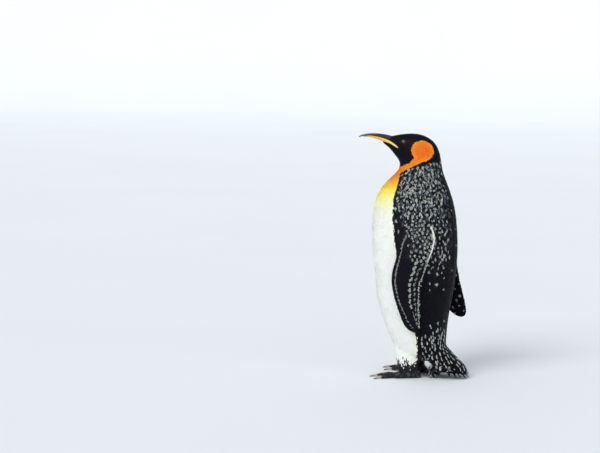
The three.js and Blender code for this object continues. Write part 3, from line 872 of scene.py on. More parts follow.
def feather_sizes(points, share):
    """Spacing, length, half width and tip height of the feathers at each place."""
    s = straightened(to_bird(points))
    _, y, z = s.T
    head = smooth(*HEAD_LEVELS, neck_level(s))
    amounts = {
        "neck": smooth(*NECK_LEVELS, neck_level(s)),
        "head": head,
        "face": head * (1 - smooth(*FACE_BACK, y)),
        "leg": 1 - smooth(*LEG_TOP, z),
        "above_rump": (1 - smooth(*ABOVE_RUMP_TOP, z)) * smooth(*ABOVE_RUMP_FRONT, y),
        "rump": tail_share(s),
        "flipper": share,
    }
    sizes = np.array(FEATHER_SIZES["body"]) * MM * np.ones((len(s), 1))
    for zone, amount in amounts.items():
        sizes += (np.array(FEATHER_SIZES[zone]) * MM - sizes) * amount[:, None]
    return sizes.T


def scatter_roots(rng, skin, share):
    """Feather roots over the skin, no closer together than the spacing at their place."""
    mesh = skin.data
    points, normals = points_of(mesh), normals_of(mesh)
    tris = triangles_of(mesh)
    corners = points[tris]
    across = np.cross(corners[:, 1] - corners[:, 0], corners[:, 2] - corners[:, 0])
    area = np.linalg.norm(across, axis=1) / 2
    spacing = feather_sizes(corners.mean(1), share[tris].mean(1))[0]
    expected = area / spacing ** 2 * ROOTS_FITTING * CHOICE_EXCESS
    owners = rng.choice(len(tris), int(expected.sum()), p=expected / expected.sum())
    u, v = rng.random((2, len(owners)))
    fold = u + v > 1
    u, v = np.where(fold, 1 - u, u), np.where(fold, 1 - v, v)
    blend = np.stack([1 - u - v, u, v], 1)[:, :, None]
    roots = (corners[owners] * blend).sum(1)
    root_normals = unit((normals[tris[owners]] * blend).sum(1))
    root_share = (share[tris[owners]][:, :, None] * blend).sum(1)[:, 0]
    room = feather_sizes(roots, root_share)[0]
    tree = tree_of(roots)
    free = np.ones(len(roots), bool)
    kept = []
    for i, root in enumerate(roots):
        if free[i]:
            kept.append(i)
            for _, j, _ in tree.find_range(root, room[i]):
                free[j] = False
    return roots[kept], root_normals[kept], root_share[kept]


def grows_feathers(roots):
    """False on the feet, round the eyes and inside the bill."""
    bill_solid = copied_nodes("bill_solid", BILL)
    bill = bvh_of(bill_solid)
    bpy.data.objects.remove(bill_solid)
    on_tail = to_bird(roots)[:, 1] > BEHIND_FEET
    grows = roots[:, 2] > np.where(on_tail, TAIL_BARE, FOOT_TOP + ANKLE_BARE)
    for sign in SIDES.values():
        centre, axis = eye_middle(sign), gaze(sign)
        aside = roots - centre
        aside -= (aside @ axis)[:, None] * axis
        grows &= (np.linalg.norm(aside, axis=1) > EYE_BARE) | (
            np.linalg.norm(roots - centre, axis=1) > 2 * EYE_RADIUS)
    s = straightened(to_bird(roots))
    for i in np.nonzero((s[:, 1] < BILL_ROOT[0]) & (s[:, 2] > BILL_ROOT[1]))[0]:
        place, normal, _, _ = bill.find_nearest(roots[i])
        if (Vector(roots[i]) - place).dot(normal) < BILL_BARE:
            grows[i] = False
    return grows


def tree_of(points):
    tree = KDTree(len(points))
    for i, point in enumerate(points):
        tree.insert(point, i)
    tree.balance()
    return tree


def spread_out(rng, places, allowed, apart):
    """A random choice of the allowed places, each at least its own distance from the next."""
    tree = tree_of(places)
    free = allowed.copy()
    chosen = []
    for i in rng.permutation(len(places)):
        if free[i]:
            chosen.append(i)
            for _, j, _ in tree.find_range(places[i], apart[i]):
                free[j] = False
    return np.array(chosen)


def fleck_clusters(rng, seen, lie, fleck):
    """How far each feather's seen end is from the middle of a pale fleck, for the fleck's size,
    and how bright that fleck is."""
    apart = FLECK_APART / np.sqrt(np.maximum(fleck, FLECK_LEAST))
    middles = spread_out(rng, seen, fleck > FLECK_LEAST, apart)
    size = FLECK_RADIUS * rng.uniform(*FLECK_VARIED, len(middles)) * (0.8 + 0.2 * fleck[middles])
    shine = rng.uniform(*FLECK_SHINE, len(middles))
    tree = tree_of(seen[middles])
    found = np.array([[hit[1] for hit in tree.find_n(point, NEAREST_FLECKS)] for point in seen])
    offset = seen[:, None] - seen[middles][found]
    ahead = np.sum(offset * lie[middles][found], 2)
    aside = np.linalg.norm(offset - ahead[:, :, None] * lie[middles][found], axis=2)
    gap = np.hypot(ahead / FLECK_STRETCH, aside) / size[found]
    return gap.min(1), shine[found[np.arange(len(seen)), gap.argmin(1)]]


def unwrapped(roots, share, flippers, normals):
    """Each root's place on a flat unwrap: round the body and along it, or on a flipper's faces."""
    s = straightened(to_bird(roots))
    stations = np.linspace(0, PATH_REACH[-1], UNWRAP_STATIONS)
    line, way = stations_on_path(stations)
    nearest = np.linalg.norm(s[:, None, 1:] - line[None], axis=2).argmin(1)
    way = way[nearest]
    from_line = s[:, 1:] - line[nearest]
    beside = from_line[:, 1] * way[:, 0] - from_line[:, 0] * way[:, 1]
    round_body = np.arctan2(s[:, 0], beside) / math.tau + 0.5
    place = np.stack([round_body, stations[nearest] / PATH_REACH[-1]], 1)
    for flipper in flippers:
        mine = (share > 0.5) & (np.sign(s[:, 0]) == flipper.sign)
        down, across, outer = flipper.place(roots, normals)
        face = np.where(outer > 0.5, *UNWRAP_FACES) + UNWRAP_HALF * np.clip(across, -1, 1)
        place[mine] = np.stack([face, down], 1)[mine]
    return place


def plant_feathers(skin, flippers):
    """All the feathers of the coat, as arrays with one row per feather."""
    rng = np.random.default_rng(COAT_SEED)
    share = flipper_share(points_of(skin.data))
    roots, normals, share = scatter_roots(rng, skin, share)
    grows = grows_feathers(roots)
    roots, normals, share = roots[grows], normals[grows], share[grows]
    count = len(roots)
    _, length, half, lift = feather_sizes(roots, share)
    s = straightened(to_bird(roots))
    tail = tail_share(s) * (1 - share)
    _, to_edge, to_tip = over_hem(s, length)
    hang = tail * smooth(*HANG_FROM, length - to_edge)
    length = np.maximum(length, HEM_REACH * to_tip * hang)
    most = np.maximum(to_tip - HEM_SHORT * rng.uniform(*HEM_VARIED, count), HEM_LEAST)
    length = np.where(tail > 0.5, np.minimum(length, most), length)
    lie = lie_of_feathers(roots, normals, share, flippers, length, hang)
    seen = roots + lie * (length * SEEN_AT)[:, None]
    wander = WANDER + WANDER_LOW * (1 - smooth(*WANDER_TOP, roots[:, 2]))
    strayed = seen + rng.normal(0, 1, (count, 3)) * wander[:, None]
    marks = markings(strayed, normals, share, flippers)
    dark = marks["white"] < 0.5
    low = 1 - smooth(*LEAD_TOP, roots[:, 2] + rng.normal(0, LEAD_BLUR, count))
    low = np.maximum(tail, low) * (1 - share)
    near_fleck, shine = fleck_clusters(rng, seen, lie, marks["fleck"] * dark * (low < 0.5))
    on_fleck = near_fleck < 1
    lead = np.zeros(count, bool)
    streaked = (low > 0.5) & dark & (marks["fleck"] > FLECK_LEAST)
    lead[spread_out(rng, roots, streaked, np.full(count, LEAD_APART))] = True
    ankle = 1 - smooth(*ANKLE, roots[:, 2] + rng.normal(0, ANKLE_BLUR, count))
    marks["white"] = (marks["white"] > 0.5) * (ankle < 0.5)
    warmer = rng.normal(0, WARM_VARIED, count) * marks["warm"]
    marks["warm"] = np.clip(marks["warm"] + warmer, 0, 1)
    marks["silver"] = marks["silver"] * smooth(*SILVER_CLEAR, near_fleck)
    dashed = marks["dash"] > 0.3
    lead_length, lead_half, lead_lift = (
        np.where(lead, np.maximum(rump + (big - rump) * tail, small), small)
        for big, rump, small in zip(LEAD_SIZE, RUMP_LEAD_SIZE, (length, half, lift))
    )
    length = lead_length * rng.normal(1, LENGTH_VARIED, count) * (1 + ANKLE_LONGER * ankle * (1 - tail))
    length = np.where(tail > 0.5, np.minimum(length, most), length)
    before = np.minimum(to_edge, length)
    half = lead_half * (1 + FLECK_WIDER * on_fleck) * rng.normal(1, HALF_VARIED, count)
    lift = lead_lift * rng.uniform(*LIFT_VARIED, count) + FLECK_LIFT * on_fleck + DASH_LIFT * dashed
    tone = rng.random(count)
    fleck = np.maximum(on_fleck * shine, dashed * marks["dash"])
    return {
        "root": roots, "normal": normals, "share": share, "lie": lie, "hang": hang, "tone": tone,
        "length": length, "half": half, "lift": lift,
        "bend": HEM_BEND * hang * before * (length - before) / length,
        "fleck": fleck + lead * rng.uniform(*LEAD_SHINE, count),
        "tipped": lead * 1.0,
        "unwrap": unwrapped(roots, share, flippers, normals),
        **{key: marks[key] for key in ("white", "warm", "silver", "cream")},
    }


def sharpen_rims(mesh, shape):
    """Keeps the thin edge of every vane crisp, so that its face is shaded flat."""
    corners = len(shape)
    ends = np.empty(len(mesh.edges) * 2, np.int32)
    mesh.edges.foreach_get("vertices", ends)
    first, second = (ends.reshape(-1, 2) % corners).T
    off_ridge = (shape[:, 2] == 0)
    sides = shape[first, 1] * shape[second, 1] >= 0
    rim = off_ridge[first] & off_ridge[second] & sides
    mesh.attributes.new("sharp_edge", "BOOLEAN", "EDGE").data.foreach_set("value", rim)


def clear_of_eyes(roots, tips):
    """Shortens the feathers that would reach into the opening of an eye."""
    for sign in SIDES.values():
        centre, axis = eye_middle(sign), gaze(sign)
        root_reach, tip_reach = (
            np.linalg.norm(np.cross(ends - centre, axis), axis=1) for ends in (roots, tips)
        )
        over = (np.linalg.norm(tips - centre, axis=1) < 2 * EYE_RADIUS) & (tip_reach < LID_BARE)
        way = np.maximum(root_reach - tip_reach, 1e-6)
        kept = np.clip((root_reach - LID_BARE) / way, LEAST_KEPT, 1)
        tips = np.where(over[:, None], roots + (tips - roots) * kept[:, None], tips)
    return tips


def mesh_of(name, points, tris):
    """A new mesh of smooth triangles."""
    mesh = bpy.data.meshes.new(name)
    mesh.vertices.add(len(points))
    mesh.loops.add(len(tris) * 3)
    mesh.polygons.add(len(tris))
    mesh.polygons.foreach_set("loop_start", np.arange(0, len(tris) * 3, 3, dtype=np.int32))
    mesh.loops.foreach_set("vertex_index", tris.ravel().astype(np.int32))
    mesh.polygons.foreach_set("use_smooth", np.ones(len(tris), bool))
    place_points(mesh, points)
    mesh.update(calc_edges=True)
    return mesh


def above_floor(roots, tips):
    """Shortens the feathers that would reach below the floor."""
    drop = roots[:, 2] - tips[:, 2] + 1e-6
    room = np.clip((roots[:, 2] - FLOOR_ROOM) / drop, 0, 1)
    return roots + (tips - roots) * np.where(tips[:, 2] < FLOOR_ROOM, room, 1)[:, None]


def vane_mesh(name, feathers, template, rng, surface):
    """Solid vanes from their roots to their tips, as one mesh."""
    shape, faces = template
    count, corners = len(feathers["root"]), len(shape)
    yaw = rng.normal(0, VANE_YAW, count)[:, None]
    roll = rng.normal(0, VANE_ROLL, count)[:, None]
    roots, normal = feathers["root"], feathers["normal"]
    side = np.cross(normal, feathers["lie"])
    lie = feathers["lie"] * np.cos(yaw) + side * np.sin(yaw)
    side = np.cross(normal, lie) * np.cos(roll) + normal * np.sin(roll)
    tips = clear_of_eyes(roots, roots + lie * feathers["length"][:, None])
    for i, tip in enumerate(tips if surface else ()):
        place, way, _, _ = surface.find_nearest(tip)
        on_skin = np.array(place + way * feathers["lift"][i])
        tips[i] = on_skin + (tip - on_skin) * feathers["hang"][i]
    base = roots - normal * ROOT_SINK
    chord = above_floor(roots, tips) - base
    arch = VANE_ARCH * feathers["length"] + feathers["bend"]
    height = 4 * np.outer(arch, shape[:, 0] * (1 - shape[:, 0]))
    height += np.outer(VANE_RIDGE * feathers["half"], shape[:, 2])
    points = base[:, None] + chord[:, None] * shape[None, :, :1]
    points = points + side[:, None] * np.outer(feathers["half"], shape[:, 1])[:, :, None]
    points = points + normal[:, None] * height[:, :, None]
    tris = (faces[None] + corners * np.arange(count)[:, None, None]).reshape(-1, 3)
    mesh = mesh_of(name, points.reshape(-1, 3), tris)
    sharpen_rims(mesh, shape)
    ahead, across, _ = np.tile(shape, (count, 1)).T
    set_attribute(mesh, "plume", ahead, across, np.repeat(feathers["tone"], corners))
    for attribute, keys in PLUME_NUMBERS.items():
        set_attribute(mesh, attribute, *(np.repeat(feathers[key], corners) for key in keys))
    flat = feathers["unwrap"]
    flat = (flat - flat.min(0)) / np.maximum(np.ptp(flat, axis=0), 1e-6) * 0.98 + 0.01
    patch = np.stack([shape[:, 1] / 2, shape[:, 0] - 0.5], 1) * TUFT_PATCH
    uv = (flat[:, None] + patch[None]).reshape(-1, 2)[tris.ravel()]
    mesh.uv_layers.new(name="OFBake").data.foreach_set("uv", uv.astype(np.float32).ravel())
    obj = bpy.data.objects.new(name, mesh)
    bpy.context.scene.collection.objects.link(obj)
    return obj


HEAD_FROM, RUMP_FROM, LEG_TO = 0.765, 0.4, 0.10  # neck level, share of the tail, height
BELLY_TO, BREAST_TO = 0.33, 0.56
LOWER_BACK_TO, BACK_TO = 0.34, 0.58


def coat_zones(feathers):
    """Which feathers each piece of the coat holds, with the piece's vanes and slot."""
    s = straightened(to_bird(feathers["root"]))
    x, y, z = s.T
    flipper = feathers["share"] > 0.5
    head = ~flipper & (neck_level(s) > HEAD_FROM)
    rump = ~flipper & (tail_share(s) > RUMP_FROM)
    leg = ~flipper & ~rump & (z < LEG_TO)
    rest = ~(flipper | head | rump | leg)
    front = rest & (y < along(WHITE_EDGE, z))
    back = rest & ~front
    small, body, pointed = (vane_template(*v) for v in (SMALL_VANE, ROUND_VANE, POINTED_VANE))
    return {
        "feathers_head": (head, small, "black_feathers"),
        "feathers_upper_breast": (front & (z > BREAST_TO), body, "orange_feathers"),
        "feathers_breast": (front & (z > BELLY_TO) & (z <= BREAST_TO), body, "white_feathers"),
        "feathers_belly": (front & (z <= BELLY_TO), body, "white_feathers"),
        "feathers_nape": (back & (z > BACK_TO), body, "silver_feathers"),
        "feathers_back": (back & (z > LOWER_BACK_TO) & (z <= BACK_TO), body, "silver_feathers"),
        "feathers_lower_back": (back & (z <= LOWER_BACK_TO), body, "black_feathers"),
        "feathers_legs": (leg, body, "white_feathers"),
        "feathers_rump": (rump, pointed, "black_feathers"),
        "feathers_flipper_left": (flipper & (x > 0), small, "black_feathers"),
        "feathers_flipper_right": (flipper & (x < 0), small, "black_feathers"),
    }


def make_coat(skin, flippers, finishes):
    feathers = plant_feathers(skin, flippers)
    surface = bvh_of(skin)
    rng = np.random.default_rng(VANE_SEED)
    for name, (chosen, template, slot) in coat_zones(feathers).items():
        held = {key: values[chosen] for key, values in feathers.items()}
        piece = vane_mesh(name, held, template, rng, surface)
        piece.data.materials.append(finishes[slot])
        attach(piece, "root")


# ------------------------------------------------------------------ finishes
BLACK = (0.0030, 0.0030, 0.0050, 1)
SOFT_BLACK = (0.008, 0.008, 0.013, 1)
SILVER_GREY = (0.125, 0.145, 0.19, 1)
PALE_FLECK = (0.50, 0.54, 0.49, 1)
WHITE = (0.87, 0.88, 0.84, 1)
SHADED_WHITE = (0.70, 0.75, 0.72, 1)
CREAM = (0.90, 0.88, 0.62, 1)
WARM_STOPS = {
    0.0: WHITE, 0.10: (0.93, 0.91, 0.62, 1), 0.28: (0.95, 0.88, 0.22, 1), 0.45: (0.95, 0.76, 0.07, 1),
    0.66: (0.94, 0.48, 0.03, 1), 0.84: (0.90, 0.24, 0.015, 1), 1.0: (0.80, 0.12, 0.01, 1),
}
NO_LIGHT = (0.0, 0.0, 0.0, 1)
# A range is (from, to) on what is measured, then what it gives at each of them, or else 0 and 1.
SILVER_TONES = (0.2, 0.85, 0.04, 1.0)  # feathers of a higher tone are more silver
WHITE_CLOUD, CLOUD_SHADE, CREAM_SHADE = (0.45, 0.7), 0.30, 0.35
BARB_SLANT, BARB_LINES = 0.28, 26.0
# painted shade at the roots and rims of the vanes, where the feathers over them shade them
ROOT_SHADE, RIM_SHADE = (0.15, 0.6, 0.62, 1.0), (0.5, 1.05, 1.0, 0.72)
BARB_SHADE = (0.3, 0.7, 0.84, 1.06)
WHITE_UNSHADED = 0.72
SPOT_SIDE, SPOT_START, SPOT_END = (0.45, 0.95, 1.0, 0.0), (0.38, 0.6), (0.86, 1.0, 1.0, 0.25)
STREAK_MIDDLE, STREAK_LONG, STREAK_WIDE = 0.62, 0.26, 0.72
STREAK_RIM = (0.65, 1.0, 1.0, 0.0)
BARBS_IN_SPOT = (0.22, 0.5, 0.45, 1.0)
# painted shade in the creases of the feet, and pale patches of painted highlight on them
CELL_LINE, CELL_RIM, FOOT_HIGHLIGHT_PATCHES = (0.0, 0.12), (0.0, 0.15), (0.52, 0.66, 0.0, 0.9)
FOOT_CREASE_SHADE, FOOT_BLACK = (0.002, 0.002, 0.003, 1), (0.014, 0.013, 0.015, 1)
FOOT_PAINTED_HIGHLIGHT = (0.085, 0.078, 0.082, 1)
GRAIN_RISE = 0.4  # of the foot's relief, on all the skin


def new_finish(name, roughness, **sockets):
    """A new material with its shader's even values set on the shader itself."""
    material = bpy.data.materials.new(name)
    material.use_nodes = True
    shader = material.node_tree.nodes["Principled BSDF"]
    shader.inputs["Roughness"].default_value = roughness
    for socket, value in sockets.items():
        shader.inputs[socket.replace("_", " ")].default_value = value
    return material, material.node_tree, shader


def add(tree, kind, inputs=(), output=0, **settings):
    """Adds a shader node; each input is a number, a colour or another node's output."""
    node = tree.nodes.new(f"ShaderNode{kind}")
    for key, value in settings.items():
        setattr(node, key, value)
    for key, value in dict(inputs).items():
        if isinstance(value, bpy.types.NodeSocket):
            tree.links.new(value, node.inputs[key])
        else:
            node.inputs[key].default_value = value
    return node.outputs[output]


def mixed(tree, amount, first, second):
    return add(tree, "Mix", {0: amount, 6: first, 7: second}, output=2, data_type="RGBA")


def worked(tree, operation, first, second=0.0):
    return add(tree, "Math", {0: first, 1: second}, operation=operation)


def times(tree, first, second):
    return worked(tree, "MULTIPLY", first, second)


def ranged(tree, value, low, high, to_low=0.0, to_high=1.0):
    inputs = {0: value, 1: low, 2: high, 3: to_low, 4: to_high}
    return add(tree, "MapRange", inputs, interpolation_type="SMOOTHSTEP")


def noise_over(tree, scale, detail):
    """Noise over the piece's own places."""
    place = add(tree, "TexCoord", output=3)
    return add(tree, "TexNoise", {"Vector": place, "Scale": scale, "Detail": detail})


def give_relief(tree, shader, strength, distance, height):
    bump = add(tree, "Bump", {"Strength": strength, "Distance": distance, "Height": height})
    tree.links.new(bump, shader.inputs["Normal"])


def three_of(tree, attribute):
    """The three numbers of an attribute."""
    vector = add(tree, "Attribute", output=1, attribute_name=attribute)
    node = tree.nodes.new("ShaderNodeSeparateXYZ")
    tree.links.new(vector, node.inputs[0])
    return node.outputs[0], node.outputs[1], node.outputs[2]


def stops(tree, value, colours):
    ramp = tree.nodes.new("ShaderNodeValToRGB")
    tree.links.new(value, ramp.inputs[0])
    ramp.color_ramp.elements.remove(ramp.color_ramp.elements[1])
    for i, (place, colour) in enumerate(colours.items()):
        element = ramp.color_ramp.elements[0] if i == 0 else ramp.color_ramp.elements.new(place)
        element.position = place
        element.color = colour
    return ramp.outputs[0]


def painted_ground(tree, tone):
    """The colour of skin or feather from its paint, before flecks and shading."""
    white, warm, silver = three_of(tree, "paint")
    cream = three_of(tree, "mood")[1]
    silvered = times(tree, silver, ranged(tree, tone, *SILVER_TONES))
    dark = mixed(tree, silvered, mixed(tree, tone, BLACK, SOFT_BLACK), SILVER_GREY)
    light = stops(tree, warm, WARM_STOPS)
    cloud = noise_over(tree, scale=9.0, detail=2.0)
    faint = times(tree, ranged(tree, cloud, *WHITE_CLOUD), CLOUD_SHADE)
    unwarmed = worked(tree, "SUBTRACT", 1.0, warm)
    light = mixed(tree, times(tree, faint, unwarmed), light, SHADED_WHITE)
    light = mixed(tree, times(tree, cream, CREAM_SHADE), light, CREAM)
    return mixed(tree, white, dark, light), white


def feather_finish(name, roughness, gloss, sheen):
    """Barbed vanes: shaded towards the root, with a pale fleck where the feather carries one."""
    material, tree, shader = new_finish(
        name, roughness, Specular_IOR_Level=gloss, Sheen_Weight=sheen, Sheen_Roughness=0.4,
    )
    reach, across, tone = three_of(tree, "plume")
    fleck, _, tipped = three_of(tree, "mood")
    aside = worked(tree, "ABSOLUTE", across)
    ground, white = painted_ground(tree, tone)
    slant = worked(tree, "SUBTRACT", reach, times(tree, aside, BARB_SLANT))
    barbs = add(tree, "CombineXYZ", {0: times(tree, slant, BARB_LINES), 1: aside, 2: tone})
    barb = add(tree, "TexNoise", {"Vector": barbs, "Scale": 1.0, "Detail": 1.0})
    # painted shade: each vane darkens towards its root and along its rims, where the feathers over it
    # shade it; the barb stripes vary it too
    shade = times(tree, ranged(tree, reach, *ROOT_SHADE), ranged(tree, aside, *RIM_SHADE))
    shade = times(tree, shade, ranged(tree, barb, *BARB_SHADE))
    kept = times(tree, white, WHITE_UNSHADED)
    shade = worked(tree, "ADD", times(tree, shade, worked(tree, "SUBTRACT", 1.0, kept)), kept)
    colour = mixed(tree, shade, NO_LIGHT, ground)
    spot = times(tree, ranged(tree, aside, *SPOT_SIDE), ranged(tree, reach, *SPOT_START))
    spot = times(tree, spot, ranged(tree, reach, *SPOT_END))
    ahead = worked(tree, "DIVIDE", worked(tree, "SUBTRACT", reach, STREAK_MIDDLE), STREAK_LONG)
    long_part = worked(tree, "POWER", worked(tree, "ABSOLUTE", ahead), 2.0)
    wide_part = worked(tree, "POWER", worked(tree, "DIVIDE", aside, STREAK_WIDE), 2.0)
    streak = ranged(tree, worked(tree, "ADD", long_part, wide_part), *STREAK_RIM)
    spot = add(tree, "Mix", {0: tipped, 2: spot, 3: streak}, data_type="FLOAT")
    spot = times(tree, spot, ranged(tree, barb, *BARBS_IN_SPOT))
    colour = mixed(tree, times(tree, spot, fleck), colour, PALE_FLECK)
    tree.links.new(colour, shader.inputs["Base Color"])
    give_relief(tree, shader, strength=0.25, distance=0.0003, height=barb)
    return material


def skin_finish():
    """Skin under the feathers, in their colours, and bare black skin on the feet, with painted shade in
    the creases between its scales and pale patches of painted highlight.
    """
    material, tree, shader = new_finish("skin_and_feet", roughness=0.55, Specular_IOR_Level=0.2)
    grain = noise_over(tree, scale=260.0, detail=3.0)
    ground, _ = painted_ground(tree, grain)
    foot = three_of(tree, "mood")[2]
    place = add(tree, "TexCoord", output=3)
    cells = add(tree, "TexVoronoi", {"Vector": place, "Scale": 330.0}, feature="DISTANCE_TO_EDGE")
    # painted shade: the lines between the foot's scales are painted near black
    horn = mixed(tree, ranged(tree, cells, *CELL_LINE), FOOT_CREASE_SHADE, FOOT_BLACK)
    # painted highlight: pale patches over the black skin of the feet
    highlight_patches = noise_over(tree, scale=95.0, detail=2.0)
    horn = mixed(tree, ranged(tree, highlight_patches, *FOOT_HIGHLIGHT_PATCHES), horn, FOOT_PAINTED_HIGHLIGHT)
    tree.links.new(mixed(tree, foot, ground, horn), shader.inputs["Base Color"])
    rise = times(tree, ranged(tree, cells, *CELL_RIM), foot)
    height = worked(tree, "ADD", rise, times(tree, grain, GRAIN_RISE))
    give_relief(tree, shader, strength=0.6, distance=0.0006, height=height)
    return material


def drop_crumbs(obj):
    """Removes stray bits that the remesh leaves apart from the main surface."""
    heights = points_of(obj.data)[:, 2]
    edit_picked(obj, "VERT", obj.data.vertices, heights == heights.max())
    bpy.ops.mesh.select_linked()
    bpy.ops.mesh.select_all(action="INVERT")
    bpy.ops.mesh.delete(type="VERT")
    bpy.ops.object.mode_set(mode="OBJECT")


def paint_skin(skin, flippers):
    points, normals = points_of(skin.data), normals_of(skin.data)
    marks = markings(points, normals, flipper_share(points), flippers)
    foot = bare_foot(points, 0.004)
    white = marks["white"] * (1 - foot)
    set_attribute(skin.data, "paint", white, marks["warm"], marks["silver"] * 0.6)
    set_attribute(skin.data, "mood", 0, marks["cream"], foot)
    skin.data.materials.append(skin_finish())


# ------------------------------------------------------------------ bill, eyes, claws and tail
BILL_BASE, BILL_TIP = -0.063, -0.2085  # along the head's own frame
BILL_VOXEL = 0.65 * MM
PLATE_RISE = 0.5 * MM
NOSTRIL = ((-0.104, 0.8900), (-0.121, 0.8935))  # ends of the slit, in the head's own frame
NOSTRIL_DEPTH = 0.9 * MM
PUPIL_ANGLE = math.radians(21)
IRIS_ANGLE = math.radians(38)
CORNEA_RISE = 0.7 * MM
PUPIL_EDGE = (PUPIL_ANGLE * 0.94, PUPIL_ANGLE * 1.04)
IRIS_DARKENED = (IRIS_ANGLE * 0.8, IRIS_ANGLE)
IRIS_EDGE = (IRIS_ANGLE * 0.98, IRIS_ANGLE * 1.06)
CORNEA_EDGE = IRIS_ANGLE * 0.9
SPOKE_RANGE, SPOKE_TWIST = (0.3, 0.7), 0.35
NOSTRIL_HALF = 0.0011
SLICES, SLICE_HALF = 24, 0.004  # places along the lower bill where its height is read
PLATE_LOW, PLATE_END, PLATE_FACE = (0.16, 0.30), (0.74, 0.84), (0.15, 0.5)
BLACK_HORN = ((0.006, 0.006, 0.008, 1), (0.024, 0.018, 0.020, 1))
LOWER_HORN = ((0.008, 0.007, 0.008, 1), (0.03, 0.02, 0.018, 1))
PLATE_STOPS = {
    0.0: (0.93, 0.80, 0.52, 1), 0.12: (0.95, 0.68, 0.20, 1), 0.38: (0.94, 0.50, 0.05, 1),
    0.85: (0.90, 0.42, 0.05, 1),
}
PLATE_SHADE = (0.70, 0.24, 0.02, 1)
HORN_GRAIN, PLATE_GRAIN = (0.4, 0.7), (0.35, 0.75, 0.0, 0.22)
PUPIL_BLACK = (0.002, 0.002, 0.002, 1)
IRIS_SPOKES, IRIS_RIM = ((0.075, 0.022, 0.008, 1), (0.30, 0.105, 0.035, 1)), (0.035, 0.012, 0.006, 1)
EYE_WHITE = ((0.012, 0.008, 0.007, 1), (0.03, 0.02, 0.018, 1))
CLAW_BLACK, CLAW_PALE = (0.028, 0.026, 0.026, 1), ((0.30, 0.28, 0.25, 1), (0.50, 0.47, 0.41, 1))
CLAW_ROOT, CLAW_TIP = (0.05, 0.35), (0.75, 1.0, 1.0, 0.25)
CLAW_HEIGHT, CLAW_LINES = (0.15, 0.75, 0.25, 1.0), (0.35, 0.65)


def in_head(points):
    """Points in the head's own frame."""
    q = to_bird(points) - np.array((0, TURN_PIVOT_Y, 0))
    cos, sin = math.cos(HEAD_TURN), math.sin(HEAD_TURN)
    aside, back, up = q.T
    return np.stack([aside * cos + back * sin, back * cos - aside * sin + TURN_PIVOT_Y, up], 1)


def finished(obj, slot, finish, *replaced):
    """Gives a piece its place on the bird and its finish; its slot argument is not used."""
    obj.data.materials.clear()
    obj.data.materials.append(finish)
    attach(obj, "root")
    if replaced:
        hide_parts(*replaced)


def make_bill_half(name, node):
    half = copied_nodes(name, [node])
    modify(half, "REMESH", mode="VOXEL", voxel_size=BILL_VOXEL)
    modify(half, "SMOOTH", factor=0.5, iterations=5)
    points, normals = points_of(half.data), normals_of(half.data)
    p = in_head(points)
    reach = (BILL_BASE - p[:, 1]) / (BILL_BASE - BILL_TIP)
    plate = np.zeros(len(p))
    if node == "bill_lower":
        order = np.linspace(p[:, 1].min(), p[:, 1].max(), SLICES)
        slices = [p[np.abs(p[:, 1] - y) < SLICE_HALF, 2] for y in order]
        low = np.interp(p[:, 1], order, [part.min() for part in slices])
        high = np.interp(p[:, 1], order, [part.max() for part in slices])
        height = (p[:, 2] - low) / np.maximum(high - low, 1e-4)
        sideways = np.abs(normals @ np.array(in_head_frame((1, 0, 0))))
        plate = smooth(*PLATE_LOW, height) * (1 - smooth(*PLATE_END, reach))
        plate = plate * smooth(*PLATE_FACE, sideways)
        points = points + normals * (PLATE_RISE * plate)[:, None]
    else:
        (ya, za), (yb, zb) = NOSTRIL
        t = np.clip((ya - p[:, 1]) / (ya - yb), 0, 1)
        gap = np.hypot(p[:, 1] - ya - t * (yb - ya), p[:, 2] - za - t * (zb - za))
        points = points - normals * (NOSTRIL_DEPTH * np.exp(-(gap / NOSTRIL_HALF) ** 2))[:, None]
    place_points(half.data, points)
    set_attribute(half.data, "horn", reach, plate, 0)
    activate(half)
    bpy.ops.object.shade_smooth()
    return half


def horn_finish(name, dark, light, roughness):
    """Bill horn: dark, with coloured plates that pale towards their rear ends."""
    material, tree, shader = new_finish(name, roughness, Coat_Weight=0.25, Coat_Roughness=0.25)
    reach, plate, _ = three_of(tree, "horn")
    grain = noise_over(tree, scale=420.0, detail=3.0)
    base = mixed(tree, ranged(tree, grain, *HORN_GRAIN), dark, light)
    shaded = ranged(tree, grain, *PLATE_GRAIN)
    plates = mixed(tree, shaded, stops(tree, reach, PLATE_STOPS), PLATE_SHADE)
    tree.links.new(mixed(tree, plate, base, plates), shader.inputs["Base Color"])
    give_relief(tree, shader, strength=0.15, distance=0.0003, height=grain)
    return material


def make_eye(side):
    sign = SIDES[side]
    centre, axis = eye_middle(sign), gaze(sign)
    deselect()
    bpy.ops.mesh.primitive_uv_sphere_add(
        segments=48, ring_count=36, radius=EYE_RADIUS, location=tuple(centre),
        rotation=Vector(axis).to_track_quat("Z", "Y").to_euler(),
    )
    eye = bpy.context.object
    eye.name = f"eyeball_{side}"
    bpy.ops.object.transform_apply(location=True, rotation=True, scale=True)
    offset = points_of(eye.data) - centre
    beside = unit(np.cross(UP, axis))
    angle = np.arccos(np.clip(unit(offset) @ axis, -1, 1))
    spoke = np.arctan2(offset @ np.cross(axis, beside), offset @ beside)
    rise = CORNEA_RISE * (1 - smooth(0, CORNEA_EDGE, angle))
    place_points(eye.data, centre + unit(offset) * (EYE_RADIUS + rise)[:, None])
    set_attribute(eye.data, "ring", angle, np.cos(spoke), np.sin(spoke))
    bpy.ops.object.shade_smooth()
    return eye


